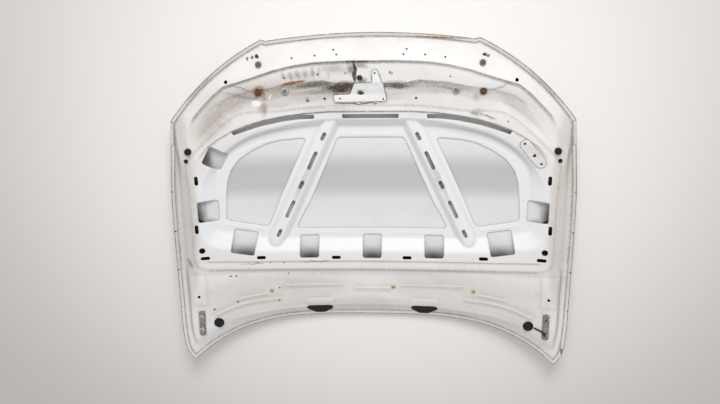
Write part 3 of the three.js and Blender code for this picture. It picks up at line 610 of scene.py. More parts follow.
    def pressed(self, lines: PressLine) -> Array:
        """Samples one press line, whose stretches each start where the last one ended, as a closed ring."""
        stretches = []
        start: Line = ()
        for index, line in enumerate(lines):
            stretches.append(spaced((*start, *line), self.skin.steps(index)))
            start = line[-1:]
        return self.skin.ring(stretches)

    def rings(self) -> list[Array]:
        """All press lines as matched rings, from the panel's edge inwards."""
        edges = []
        for distance in (self.edge_gap, self.hem_foot):
            ring = self.skin.inset(distance)
            ring[:, 2] = self.edge_height
            edges.append(ring)
        lines = (self.band, self.step_top, self.step_foot, self.ridge_outer, self.rim_outer, self.wall_top)
        foot = self.pressed(self.wall_foot)
        floor = []
        for scale in self.floor_scales:
            ring = foot * [scale, scale, 1]
            ring[:, 1] += self.floor_centre_y * (1 - scale)
            floor.append(ring)
        return [*edges, *[self.pressed(line) for line in lines], foot, *floor]

    def rib_gap(self, places: Array) -> Array:
        """Distance of places from the nearer rib's centreline."""
        along = np.array(self.rib_along)
        ends = np.array([np.array(self.rib_start) + along * reach for reach in self.rib_reach])
        folded = np.stack([np.abs(places[:, 0]), places[:, 1]], axis=1)
        return distance_to(folded, ends, False)

    def rasterise(self) -> None:
        """Draws the press lines' form on an even grid, adds the ribs and rounds every crease."""
        columns = int((self.high[0] - self.low[0]) / self.cell) + 1
        lines = int((self.high[1] - self.low[1]) / self.cell) + 1
        heights = np.zeros((lines, columns))
        known = np.zeros((lines, columns))
        rings = self.rings()
        for outer, inner in zip(rings, rings[1:]):
            beyond = (np.roll(outer, -1, axis=0), np.roll(inner, -1, axis=0))
            for a, b, c, d in zip(outer, inner, beyond[1], beyond[0]):
                self.draw(heights, known, (a, b, c))
                self.draw(heights, known, (a, c, d))
        middle = np.array([0, self.floor_centre_y, rings[-1][0, 2]])
        for a, b in zip(rings[-1], np.roll(rings[-1], -1, axis=0)):
            self.draw(heights, known, (a, middle, b))

        x = self.low[0] + np.arange(columns) * self.cell
        y = self.low[1] + np.arange(lines) * self.cell
        places = np.stack(np.meshgrid(x, y), axis=-1).reshape(-1, 2)
        gap = self.rib_gap(places).reshape(lines, columns)
        slope = (self.rib_height - rings[-1][0, 2]) / (self.rib_foot_half - self.rib_top_half)
        rib = np.minimum(self.rib_height, self.rib_height - (gap - self.rib_top_half) * slope)
        heights = np.where(gap < self.rib_foot_half, np.maximum(heights, rib), heights)

        weight = self.blurred(known)
        self.grid["heights"] = self.blurred(heights * known) / np.maximum(weight, 1e-6)

    def draw(self, heights: Array, known: Array, corners: Sequence[Array]) -> None:
        """Draws one facet on the grid.

        Args:
            heights: The grid's heights, changed in place.
            known: 1 where the grid has a height, changed in place.
            corners: The facet's three corners.
        """
        points = np.array(corners)
        plan = (points[:, :2] - self.low) / self.cell
        first = np.maximum(np.ceil(plan.min(0) - 1e-6).astype(int), 0)
        last = np.floor(plan.max(0) + 1e-6).astype(int)
        if np.any(last < first):
            return
        (ax, ay), (bx, by), (cx, cy) = plan
        area = (bx - ax) * (cy - ay) - (cx - ax) * (by - ay)
        if abs(area) < 1e-9:
            return
        x, y = np.meshgrid(np.arange(first[0], last[0] + 1), np.arange(first[1], last[1] + 1))
        second = ((x - ax) * (cy - ay) - (cx - ax) * (y - ay)) / area
        third = ((bx - ax) * (y - ay) - (x - ax) * (by - ay)) / area
        inside = (second >= -1e-6) & (third >= -1e-6) & (second + third <= 1 + 1e-6)
        value = points[0, 2] * (1 - second - third) + points[1, 2] * second + points[2, 2] * third
        heights[y[inside], x[inside]] = value[inside]
        known[y[inside], x[inside]] = 1

    def blurred(self, values: Array) -> Array:
        """Blurs a grid evenly over the fillet radius."""
        reach = int(math.ceil(3 * self.fillet / self.cell))
        steps = np.arange(-reach, reach + 1) * self.cell
        kernel = np.exp(-steps**2 / (2 * self.fillet**2))
        kernel /= kernel.sum()
        for axis in (0, 1):
            values = np.apply_along_axis(lambda line: np.convolve(line, kernel, mode="same"), axis, values)
        return values

    def over_skin(self, x: Array, y: Array) -> Array:
        """Height of the panel's upper face over the skin, reliefs included."""
        heights = self.grid["heights"]
        column = np.clip((x - self.low[0]) / self.cell, 0, heights.shape[1] - 1.001)
        line = np.clip((y - self.low[1]) / self.cell, 0, heights.shape[0] - 1.001)
        c, r = column.astype(int), line.astype(int)
        fc, fr = column - c, line - r
        near = heights[r, c] * (1 - fc) + heights[r, c + 1] * fc
        far = heights[r + 1, c] * (1 - fc) + heights[r + 1, c + 1] * fc
        result = near * (1 - fr) + far * fr
        places = np.stack([x, y], axis=1)
        for relief in self.reliefs:
            result = result + relief.height(places)
        for ledge in self.ledges:
            result = result + ledge.height(x, y)
        return result

    def top(self, x: Array, y: Array) -> Array:
        """Height of the panel's upper face."""
        return self.skin.height(x, y) + self.over_skin(x, y)

    def top_at(self, x: float, y: float) -> float:
        """Height of the panel's upper face at one place."""
        return float(self.top(np.array([x], float), np.array([y], float))[0])

    def mesh_points(self) -> Array:
        """Places for mesh points: graded rows between the press lines, and rows along the ribs."""
        rings = self.rings()[1:]
        kept = [rings[0][:, :2]]
        last = rings[0][:, :2].copy()
        for outer, inner, rows in zip(rings, rings[1:], self.band_rows):
            for row in range(1, rows + 1):
                share = 0.5 - 0.5 * math.cos(math.pi * row / rows)
                points = outer[:, :2] + (inner[:, :2] - outer[:, :2]) * share
                apart = np.linalg.norm(points - last, axis=1) > self.row_gap
                kept.append(points[apart])
                last[apart] = points[apart]
        points = np.vstack(kept)
        clear = self.rib_gap(points) > self.rib_foot_half + self.rib_clear
        apart = clear | (points[:, 1] > self.rib_start[1])
        return np.vstack([points[apart], self.rib_rows()])

    def rib_rows(self) -> Array:
        """Rows of points along and round both ribs."""
        along = np.array(self.rib_along)
        across = np.array([-along[1], along[0]])
        start, end = [np.array(self.rib_start) + along * reach for reach in self.rib_reach]
        count = int((self.rib_reach[1] - self.rib_reach[0]) / self.rib_step)
        line = start + (end - start) * np.linspace(0, 1, count + 1)[:, None]
        rows = []
        for reach in self.rib_offsets:
            rows.extend([line + across * reach, line - across * reach] if reach else [line])
            steps = max(2, int(reach / self.row_gap))
            angle = np.linspace(0, math.pi, steps + 1)[1:-1, None]
            cap = np.cos(angle) * across + np.sin(angle) * along
            rows.extend([end + cap * reach, start - cap * reach] if reach else [])
        points = np.vstack(rows)
        return np.vstack([points, points * [-1, 1]])


# Meshes


class Sheet:
    """Makes sheets that are cut in plan and follow a form, and lofts through rings."""

    crease_angle = math.radians(42)

    @staticmethod
    def build(
        name: str, places: Array, border: Array, holes: Sequence[Array],
        top: HeightAt, bottom: HeightAt, skin: SkinForm, edge_drop: float = 0.0,
    ) -> Piece:
        """Triangulates a sheet in plan and gives it an upper and a lower face.

        Args:
            name: The new object's name.
            places: Inner points, at least a millimetre from every edge.
            border: The sheet's edge.
            holes: The edges of its holes.
            top: The upper face's height.
            bottom: The lower face's height.
            skin: The form that turns millimetres into the CAD part's frame.
            edge_drop: How far the upper face's edge is rounded down.

        Returns:
            The mesh object, with material 0 above, 1 on the cut edges and 2 below.
        """
        loops = [border, *holes]
        points = np.vstack([*loops, places])
        edges = []
        begin = 0
        for loop in loops:
            edges.extend((begin + i, begin + (i + 1) % len(loop)) for i in range(len(loop)))
            begin += len(loop)
        made = delaunay_2d_cdt([Vector(p) for p in points.tolist()], edges, [], 0, 1e-4, False)
        flat = np.array([v[:] for v in made[0]])
        faces = np.array([f[:] for f in made[2]])
        middle = flat[faces].mean(axis=1)
        keep = Outline(border).holds(middle)
        for hole in holes:
            keep &= ~Outline(hole).holds(middle)
        faces = faces[keep]
        used, faces = np.unique(faces, return_inverse=True)
        faces = faces.reshape(-1, 3)
        flat = flat[used]
        a, b, c = flat[faces[:, 0]], flat[faces[:, 1]], flat[faces[:, 2]]
        clockwise = (b[:, 0] - a[:, 0]) * (c[:, 1] - a[:, 1]) < (c[:, 0] - a[:, 0]) * (b[:, 1] - a[:, 1])
        faces[clockwise] = faces[clockwise][:, ::-1]

        sides = np.vstack([faces[:, [0, 1]], faces[:, [1, 2]], faces[:, [2, 0]]])
        code = sides[:, 0] * len(flat) + sides[:, 1]
        back = sides[:, 1] * len(flat) + sides[:, 0]
        open_sides = sides[~np.isin(code, back)]

        x, y = flat.T
        upper = top(x, y)
        upper[np.unique(open_sides)] -= edge_drop
        count = len(flat)
        vertices = np.vstack([np.stack([x, y, upper], axis=1), np.stack([x, y, bottom(x, y)], axis=1)])
        near, far = open_sides.T
        rim = np.stack([far, near, near + count, far + count], axis=1)
        polygons = [*faces.tolist(), *rim.tolist(), *(faces[:, ::-1] + count).tolist()]
        kinds = np.repeat([0, 1, 2], [len(faces), len(rim), len(faces)])
        return Sheet.make(name, skin.in_frame(vertices), polygons, kinds)

    @staticmethod
    def make(name: str, vertices: Array, polygons: Sequence[list[int]], kinds: Sequence[int]) -> Piece:
        """Makes a smooth-shaded mesh object.

        Args:
            name: The new object's name.
            vertices: Its points, in metres.
            polygons: Its faces.
            kinds: The material number of each face.

        Returns:
            The object, linked to the scene.
        """
        mesh = bpy.data.meshes.new(name)
        mesh.from_pydata(vertices.tolist(), [], list(polygons))
        mesh.polygons.foreach_set("material_index", np.asarray(kinds, np.int32))
        mesh.polygons.foreach_set("use_smooth", np.ones(len(polygons), bool))
        mesh.set_sharp_from_angle(angle=Sheet.crease_angle)
        mesh.update()
        made = bpy.data.objects.new(name, mesh)
        bpy.context.scene.collection.objects.link(made)
        return made


def ring_quads(count: int, size: int) -> Array:
    """Faces that join a number of rings of equal size, each to the next."""
    step = np.arange(size)
    after = (step + 1) % size
    near = np.arange(count - 1)[:, None] * size
    far = near + size
    return np.stack([near + step, near + after, far + after, far + step], axis=2).reshape(-1, 4)


def tube_faces(count: int, size: int) -> list[list[int]]:
    """Faces of a closed tube through rings: a cap, the faces between the rings, and a cap."""
    step = np.arange(size)
    return [step[::-1].tolist(), *ring_quads(count, size).tolist(), ((count - 1) * size + step).tolist()]


def turned_over(faces: Iterable[Sequence[int]]) -> list[list[int]]:
    """The faces with their other side out."""
    return [[face[0], *face[:0:-1]] for face in faces]


def store(piece: Piece, name: str, values: Sequence[float]) -> None:
    """Stores a value at each of a piece's points, for its material."""
    piece.data.attributes.new(name, "FLOAT", "POINT").data.foreach_set("value", values)


def fill_points(border: Outline, holes: Sequence[Outline], step: float, clear: float) -> Array:
    """Spreads points evenly inside an outline.

    Args:
        border: The outline to fill.
        holes: Outlines to stay out of.
        step: The distance between points.
        clear: The least distance from every edge.

    Returns:
        The points.
    """
    low, high = border.points.min(0), border.points.max(0)
    x, y = np.meshgrid(np.arange(low[0], high[0], step), np.arange(low[1], high[1], step * 0.87))
    x[1::2] += step / 2
    return kept_inside(np.stack([x.ravel(), y.ravel()], axis=1), border, holes, clear)


def kept_inside(places: Array, border: Outline, holes: Iterable[Outline], clear: float) -> Array:
    """The places that lie inside a border and outside its holes by a clear distance."""
    places = places[border.depth(places, clear * 2) > clear]
    for hole in holes:
        places = places[hole.depth(places, clear * 2) < -clear]
    return places


def dress(piece: Piece, finishes: Materials, slot: str, node: str) -> Piece:
    """Gives a piece its materials and ties it to the CAD part.

    Args:
        piece: The piece.
        finishes: Its materials, in the order of its faces' material numbers.
        slot: The record's material slot; not used.
        node: The CAD node that it stands for.

    Returns:
        The piece.
    """
    for finish in finishes:
        piece.data.materials.append(finish)
    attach(piece, "root")
    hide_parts(node)
    LOG.info("%s: %d faces", piece.name, len(piece.data.polygons))
    return piece


# Finishes


@dataclass(frozen=True)
class Mark:
    """A stain, chip or patch on the paint, or a painted shadow or pool of light, in millimetres and degrees.

    Attributes:
        x: Its middle across the bonnet.
        y: Its middle along the bonnet.
        width: Its half width before it is turned.
        depth: Its half depth before it is turned.
        turn: How far it is turned.
        amount: How strong it is in its middle.
        soft: The share of its radius over which it fades out.
    """

    x: float
    y: float
    width: float
    depth: float
    turn: float = 0.0
    amount: float = 1.0
    soft: float = 0.7


def marks_of(*rows: tuple[float, ...]) -> list[Mark]:
    """One mark for each row of values, in the order of a mark's attributes."""
    return [Mark(*row) for row in rows]


def on_both(*rows: tuple[float, ...]) -> list[Mark]:
    """Marks given on the right half, and their mirror images."""
    marks = marks_of(*rows)
    return [*marks, *[replace(mark, x=-mark.x, turn=-mark.turn) for mark in marks]]


class Shader:
    """Builds the node tree of one material."""

    def __init__(self, name: str) -> None:
        """Starts a material that has a principled shader."""
        self.material = bpy.data.materials.new(name)
        self.material.use_nodes = True
        self.tree = self.material.node_tree
        self.surface = self.tree.nodes["Principled BSDF"]
        self.place = self.add("ShaderNodeTexCoord").outputs["Object"]

    def add(self, kind: str, feeds: Feeds = (), **settings: object) -> bpy.types.Node:
        """Adds a node, sets its options and feeds its sockets, by their order or by their names."""
        node = self.tree.nodes.new(kind)
        for name, value in settings.items():
            setattr(node, name, value)
        for name, value in feeds.items() if isinstance(feeds, dict) else enumerate(feeds):
            self.feed(node.inputs[name], value)
        return node

    def surfaced(self, **feeds: object) -> Material:
        """Feeds the principled shader, with _ for a space in a socket's name, and gives the material."""
        for name, value in feeds.items():
            self.feed(self.surface.inputs[name.replace("_", " ")], value)
        return self.material

    def feed(self, socket: Socket, value: object) -> None:
        """Links a socket to another, or sets its value."""
        if isinstance(value, Socket):
            self.tree.links.new(value, socket)
        else:
            socket.default_value = value

    def math(self, operation: str, *values: object) -> Socket:
        """Works out one sum on numbers or sockets."""
        return self.add("ShaderNodeMath", values, operation=operation).outputs[0]

    def ramp(self, value: object, low: float, high: float, top: float = 1.0) -> Socket:
        """Rises smoothly from 0 where the value is low to the top where it is high."""
        feeds = (value, low, high, 0.0, top)
        return self.add("ShaderNodeMapRange", feeds, interpolation_type="SMOOTHSTEP").outputs[0]

    def mix(self, share: object, low: object, high: object, blend: str = "MIX") -> Socket:
        """Mixes two colours."""
        node = self.add("ShaderNodeMix", data_type="RGBA", blend_type=blend)
        self.feed(node.inputs[0], share)
        self.feed(node.inputs[6], low)
        self.feed(node.inputs[7], high)
        return node.outputs[2]

    def noise(self, scale: float, detail: float = 3.0, roughness: float = 0.55) -> Socket:
        """Cloudy noise from 0 to 1, with its scale per metre."""
        feeds = {"Vector": self.place, "Scale": scale, "Detail": detail, "Roughness": roughness}
        return self.add("ShaderNodeTexNoise", feeds).outputs["Fac"]

    def broken(self, strength: object, grain: object, low: float, high: float, top: float) -> object:
        """A mark's strength, broken up by the grain and never above 1."""
        stain = self.math("MULTIPLY", strength, self.ramp(grain, low, high, top))
        return self.math("MINIMUM", stain, 1.0)

    def uneven(self, depth: float, height: object) -> None:
        """Makes the surface uneven, to a depth in millimetres."""
        bump = self.add("ShaderNodeBump", {"Distance": depth * MM, "Height": height})
        self.feed(self.surface.inputs["Normal"], bump.outputs["Normal"])

    def attribute(self, name: str) -> Socket:
        """A value stored on the mesh's points."""
        return self.add("ShaderNodeAttribute", attribute_name=name).outputs["Fac"]

    def wavered(self, reach: float, scale: float) -> Socket:
        """The place, moved about by noise so that edges drawn with it are ragged."""
        noise = self.add("ShaderNodeTexNoise", {"Vector": self.place, "Scale": scale}).outputs["Color"]
        centred = self.add("ShaderNodeVectorMath", (noise, (0.5, 0.5, 0.5)), operation="SUBTRACT").outputs[0]
        feeds = (centred, (reach * MM, reach * MM, 0), self.place)
        return self.add("ShaderNodeVectorMath", feeds, operation="MULTIPLY_ADD").outputs[0]

    def marks(self, marks: Iterable[Mark], place: Socket) -> Socket:
        """Draws marks.

        Args:
            marks: What to draw.
            place: The place that they are drawn at.

        Returns:
            Their strength: the strongest one wherever marks meet.
        """
        total: object = 0.0
        for mark in marks:
            local = self.add("ShaderNodeMapping", {
                "Vector": place,
                "Location": (mark.x * MM, (mark.y - FRAME_SHIFT_Y) * MM, 0),
                "Rotation": (0, 0, math.radians(mark.turn)),
                "Scale": (mark.width * MM, mark.depth * MM, 1000),
            }, vector_type="TEXTURE")
            ball = self.add("ShaderNodeTexGradient", (local.outputs["Vector"],), gradient_type="SPHERICAL")
            total = self.math("MAXIMUM", total, self.ramp(ball.outputs["Fac"], 0.0, mark.soft, mark.amount))
        return total


@dataclass(frozen=True)
class PlainFinish:
    """A finish with one colour, broken up a little by noise.

    Attributes:
        name: The material's name.
        color: Its colour.
        dusty: The colour that the noise brings in.
        dust: How much of it, from 0 to 1.
        roughness: How matt it is.
        metallic: Whether it is metal.
        grain: The noise's scale per metre.
        bump: How deep its unevenness is, in millimetres.
    """

    name: str
    color: Color
    dusty: Color
    dust: float = 0.4
    roughness: float = 0.6
    metallic: float = 0.0
    grain: float = 300.0
    bump: float = 0.15

    def make(self) -> Material:
        """Builds the material."""
        shader = Shader(self.name)
        cloud = shader.noise(self.grain, 4.0)
        share = shader.ramp(cloud, 0.4, 0.75, self.dust)
        color = shader.mix(share, (*self.color, 1), (*self.dusty, 1))
        rough = shader.math("MULTIPLY_ADD", share, 0.25, self.roughness)
        shader.uneven(self.bump, cloud)
        return shader.surfaced(Base_Color=color, Roughness=rough, Metallic=self.metallic)


WHITE = (0.85, 0.825, 0.80, 1)
COOL = (0.86, 0.865, 0.87, 1)
CREAM = (0.79, 0.75, 0.70, 1)
DUST = (0.50, 0.44, 0.385, 1)
DIRT_AND_SHADOW = (0.065, 0.038, 0.022, 1)
DARK = (0.02, 0.017, 0.014, 1)
SOOT_AND_SHADOW = (0.075, 0.052, 0.036, 1)
SHADE = (0.42, 0.37, 0.33, 1)
RUST = (0.30, 0.105, 0.03, 1)
CLEAN = (0.93, 0.93, 0.92, 1)


@dataclass(frozen=True)
class WornPaint:
    """White paint with the dust, dirt, rust, chips and clean patches of its use, and painted shade in its
    creases, under its ledges and along its edges.

    Attributes:
        name: The material's name.
        base: The paint's colour.
        roughness: How matt clean paint is.
        dust: Where dust lies, and in some broad marks painted shade as well.
        dirt: Where dark dirt lies, with a few painted shadows and painted shade in holes.
        rust: Where it rusts.
        chips_and_hole_shade: Where it is chipped, and painted shade where a small hole should look dark.
        clean: Patches that stayed clean.
        worn_roughness: How much more matt stained paint is.
        bump: How deep its unevenness is, in millimetres.
    """

    name: str
    base: tuple[float, float, float, float]
    roughness: float
    dust: Sequence[Mark]
    dirt: Sequence[Mark]
    rust: Sequence[Mark]
    chips_and_hole_shade: Sequence[Mark]
    clean: Sequence[Mark] = ()
    worn_roughness: float = 0.35
    bump: float = 0.25

    def make(self) -> Material:
        """Builds the material."""
        shader = Shader(self.name)
        ragged = shader.wavered(16, 45)
        fine = shader.wavered(4, 160)
        cloud = shader.noise(9, 5.0, 0.6)
        grain = shader.noise(120, 4.0, 0.6)
        speck = shader.noise(420, 2.0, 0.5)
        worked = shader.mix(shader.ramp(cloud, 0.42, 0.75, 0.16), self.base, DUST)
        worked = shader.mix(shader.ramp(speck, 0.66, 0.78, 0.35), worked, DUST)
        color = shader.mix(shader.attribute("cavity"), worked, COOL)

        dusty = shader.broken(shader.marks(self.dust, ragged), grain, -0.5, 0.9, 1.2)
        color = shader.mix(dusty, color, DUST)
        # Dark dirt marks, with a few painted shadows among them.
        dirty = shader.broken(shader.marks(self.dirt, ragged), grain, -0.4, 0.7, 1.1)
        color = shader.mix(dirty, color, DIRT_AND_SHADOW)
        # Painted shade in the creases: darker where a point lies below the panel round it.
        color = shader.mix(shader.attribute("crease"), color, SHADE, "MULTIPLY")
        # Painted shadow under ledges and along edges, mixed with the dirt that lines them.
        sooty_and_shaded = shader.broken(shader.attribute("soot_and_shadow"), grain, 0.15, 0.6, 1.15)
        color = shader.mix(sooty_and_shaded, color, SOOT_AND_SHADOW)
        rusty = shader.broken(shader.marks(self.rust, fine), grain, 0.15, 0.6, 1.25)
        color = shader.mix(rusty, color, RUST)
        color = shader.mix(shader.marks(self.clean, fine), color, CLEAN)
        # Chips, and painted shade that makes some holes look dark.
        color = shader.mix(shader.marks(self.chips_and_hole_shade, fine), color, DARK)

        worn = shader.math("MAXIMUM", shader.math("MAXIMUM", dusty, rusty), dirty)
        rough = shader.math("MULTIPLY_ADD", worn, self.worn_roughness, self.roughness)
        shader.uneven(self.bump, shader.noise(40, 3.0))
        return shader.surfaced(Base_Color=color, Roughness=rough)


PANEL_PAINT = WornPaint(
    "panel_paint",
    WHITE,
    0.42,
    dust=[
        # Dust; the broad marks over the rear zone and over the recesses beside the front corners are partly
        # painted shade.
        *on_both((480, -330, 170, 90, -20, 0.3, 0.6), (235, 110, 120, 15, -64, 0.55, 0.7)),
        *marks_of(
            (-330, 420, 330, 70, 8, 0.66, 0.9), (-520, 330, 160, 66, 48, 0.9, 0.9),
            (-455, 375, 120, 44, 30, 0.8, 0.8), (-300, 378, 120, 20, 6, 0.5, 0.8),
            (-640, 30, 50, 440, 0, 0.5, 0.4), (640, 30, 50, 440, 0, 0.45, 0.4),
            (480, 365, 130, 34, -38, 0.45, 0.8), (-200, 405, 190, 40, 3, 0.65, 0.8),
            (-110, 500, 120, 22, 0, 0.35, 0.8), (-230, 470, 110, 24, 4, 0.6, 0.8),
            (200, 425, 160, 16, -4, 0.4, 0.8), (20, 400, 150, 22, 0, 0.5, 0.8),
            (-358, 372, 38, 32, 0, 0.75, 0.9), (352, 347, 28, 24, 0, 0.55, 0.9),
            (-130, 360, 170, 14, 0, 0.4, 0.8), (-620, 180, 40, 120, 0, 0.35, 0.9),
            (-330, -290, 400, 95, 4, 0.38, 0.6), (330, -290, 400, 95, -4, 0.32, 0.6),
            (-60, -330, 300, 40, 0, 0.3, 0.7), (-655, -200, 22, 260, 0, 0.3, 0.7),
            (655, -200, 22, 260, 0, 0.25, 0.7),
        ),
    ],
    # Dirt marks; the thin line under the striker plate's lower edge is a painted shadow, the spots under the
    # striker's screw holes and slot are painted shade, and the tall band at x -49 above the plate is painted
    # shade mixed with dirt.
    dirt=marks_of(
        (-92, 430, 70, 28, 8, 1.0, 0.7), (-82, 436, 34, 14, 8, 1.0, 0.5),
        (-112, 430, 88, 22, 5, 0.9, 0.9), (-190, 440, 95, 15, 6, 0.7, 0.9),
        (-160, 420, 90, 14, 4, 0.4, 0.9), (-120, 490, 60, 20, 0, 0.3, 0.9),
        (-30, 500, 36, 12, 0, 0.55, 0.9), (94, 435, 50, 10, -2, 0.75, 0.8),
        (250, 430, 90, 7, -6, 0.35, 0.8), (-352, 360, 16, 40, -14, 0.35, 0.9),
        (340, 347, 24, 10, -14, 0.5, 0.8), (385, 334, 44, 7, -18, 0.55, 0.8),
        (345, 400, 16, 24, 20, 0.3, 0.9), (-200, -180, 70, 4, 0, 0.45, 0.7),
        (-420, -184, 60, 3, 0, 0.4, 0.7), (-640, -176, 10, 30, 24, 0.5, 0.7),
        (-282, 474, 10, 26, 12, 0.3, 0.9), (-258, 470, 9, 24, 8, 0.32, 0.9),
        (-234, 474, 12, 26, 10, 0.36, 0.9), (-209, 478, 9, 24, 8, 0.34, 0.9),
        (-185, 480, 11, 27, 4, 0.42, 0.9), (-165, 484, 8, 22, 2, 0.35, 0.9),
        (-135, 480, 10, 30, 0, 0.25, 0.9), (-60, 490, 22, 26, 0, 0.7, 0.9),
        (-49, 483, 8, 42, 0, 1.0, 0.4), (-31, 415, 13, 8, 0, 1.0, 0.3),
        (-100, 394, 4, 4, 0, 1.0, 0.3), (44, 392, 4, 4, 0, 1.0, 0.3), (16, 478, 4, 4, 0, 1.0, 0.3),
        (-367, 535, 8, 8, 0, 1.0, 0.3), (-398, 529, 6, 6, 0, 0.8, 0.4),
        (-381, 532, 6, 6, 0, 0.8, 0.4), (367, 534, 8, 7, 0, 1.0, 0.3), (378, 531, 7, 5, 0, 0.8, 0.4),
        (-418, 432, 46, 6, -20, 0.45, 0.8), (418, 432, 46, 6, 20, 0.35, 0.8),
        (-79, 479, 6, 6, 0, 0.8, 0.5), (69, 479, 7, 7, 0, 0.8, 0.5), (-280, 465, 6, 6, 0, 0.6, 0.4),
        (-28, 455, 28, 13, 0, 0.7, 0.9), (-40, 378, 110, 4, 0, 0.8, 0.6),
        (-208, 388, 10, 7, 0, 0.8, 0.7), (-420, 405, 90, 9, -14, 0.35, 0.9),
        (540, 225, 30, 10, -50, 0.3, 0.8),
    ),
    rust=marks_of(
        (-364, 421, 30, 25, 20, 1.0, 0.7), (-374, 408, 24, 14, 40, 0.8, 0.9),
        (-350, 402, 12, 18, 20, 0.5, 0.9), (-262, 447, 42, 7, 11, 1.0, 0.6),
        (-232, 453, 36, 5, 8, 0.9, 0.8), (367, 417, 22, 19, 0, 0.85, 0.8),
        (-398, 529, 7, 7, 0, 0.8, 0.8), (-381, 532, 7, 7, 0, 0.8, 0.8), (377, 530, 5, 5, 0, 0.8, 0.8),
        (-208, 396, 16, 7, 0, 0.4, 0.9),
    ),
    # Chips; the spots under the prop bracket's screw holes and socket slot are painted shade that makes them
    # look dark.
    chips_and_hole_shade=marks_of(
        (-502, -230, 7, 3.6), (-483, -230, 7, 3.6), (-297, -224, 5, 3.2), (-565, -352, 7, 4, 20),
        (-481, -326, 7, 4, 10), (-331, -278, 6, 3.4), (-333, -325, 5, 3.2), (-403, -181, 6, 2.4),
        (-360, -182, 4, 2.4), (-312, -183, 5, 2.4), (-148, 395, 4, 4), (152, 396, 4, 4),
        (451, 318, 4, 4), (508, 246, 5.5, 5.5, 0, 1.0, 0.2), (564, 178, 5.5, 5.5, 0, 1.0, 0.2),
        (541, 206, 6, 10, -50, 1.0, 0.3), (259, 466, 4, 3.6),
    ),
    clean=marks_of((-377, 382, 19, 13, 0, 1.0, 0.35), (-330, 404, 4, 14, -28, 1.0, 0.5)),
)
HEM_PAINT = WornPaint(
    "hem_paint",
    CREAM,
    0.35,
    dust=on_both(
        (300, -440, 420, 110, -6, 0.5, 0.6), (684, 0, 30, 420, 0, 0.5, 0.6),
        (520, 480, 300, 60, -44, 0.35, 0.7),
    ),
    dirt=on_both((560, 440, 120, 14, -44, 0.35, 0.9)),
    rust=marks_of(
        (215, 588, 130, 5, -3, 0.8, 0.8), (671, -495, 30, 8, -68, 0.9, 0.7),
        (-300, 590, 60, 4, 3, 0.35, 0.8),
    ),
    chips_and_hole_shade=[
        *on_both(*[(684, y, 6, 3.4) for y in (82, -60, -202, -341)]),
        *marks_of((-420, 561, 4, 2.6), (480, 530, 4, 2.6)),
    ],
)


@dataclass(frozen=True)
class InsidePaint:
    """The outer skin's inner face, in painted reflection and shade: a dark band across it, lighter in front
    and behind, and dark in corners.

    Attributes:
        bands: Places along the bonnet and the brightness there, a painted reflection of the glossy skin.
        warm: The colour at full brightness.
        hidden: The middles of the small openings below which painted shade makes it dark, on the right half.
        hidden_reach: How far the painted shade below an opening reaches.
        shaded: Painted shadows behind the edges of the windows on both halves, and along the skin's side
            crease.
        single_shaded: Painted shadows behind the edges of the single windows.
        roughness: How matt it is.
    """

    bands: Places = (
        (340, 0.95), (290, 0.92), (225, 0.80), (150, 0.56), (95, 0.57), (30, 0.79), (-60, 0.84),
    )
    warm: Color = (1.0, 0.99, 0.975)
    hidden: Places = (
        (595, 122), (606, -51), (584, -158), (593, -130), (390, -162), (125, -165), (470, 454), (615, -301),
        (210, -368), (165, -368),
    )
    hidden_reach: float = 34
    shaded: tuple[Mark, ...] = (
        Mark(449, -168, 110, 64, 0, 0.85, 0.9), Mark(220, -180, 90, 62, 0, 0.9, 0.9),
        Mark(606, -10, 40, 70, 0, 0.85, 0.9), Mark(566, -44, 60, 30, 0, 0.6, 0.9),
        Mark(579, 9, 3, 70, 3, 0.35, 0.6),
    )
    single_shaded: tuple[Mark, ...] = (
        Mark(2, -182, 90, 62, 0, 0.9, 0.9), Mark(-562, 190, 28, 60, 0, 0.75, 0.9),
    )
    roughness: float = 0.25

    def make(self) -> Material:
        """Builds the material."""
        shader = Shader("skin_inside")
        parts = shader.add("ShaderNodeSeparateXYZ", (shader.place,))
        # The bands paint the glossy skin's reflection: light in front, a dark band across the middle,
        # lighter behind.
        color: object = (*[part * self.bands[0][1] for part in self.warm], 1)
        for (start, _), (end, value) in zip(self.bands, self.bands[1:]):
            low, high = ((y - FRAME_SHIFT_Y) * MM for y in (end, start))
            share = shader.ramp(parts.outputs["Y"], low, high)
            color = shader.mix(share, (*[part * value for part in self.warm], 1), color)
        color = shader.mix(shader.ramp(shader.noise(7, 4.0), 0.45, 0.8, 0.12), color, DUST)
        # Painted shadows behind the window edges and along the side crease.
        shades = [replace(mark, x=mark.x * side.value) for mark in self.shaded for side in Side]
        color = shader.mix(shader.marks([*shades, *self.single_shaded], shader.place), color, DARK)
        # Painted shade below the small openings, so that they look dark.
        reach = self.hidden_reach
        holes = on_both(*[(x, y, reach, reach, 0, 1.0, 0.35) for x, y in self.hidden])
        color = shader.mix(shader.marks(holes, shader.place), color, DARK)
        return shader.surfaced(Base_Color=color, Roughness=self.roughness)


# Pieces


def plain(name: str, color: Color, dusty: Color, **settings: float) -> Material:
    """A plain finish as a palette's field, made when the palette is."""
    return field(default_factory=PlainFinish(name, color, dusty, **settings).make)


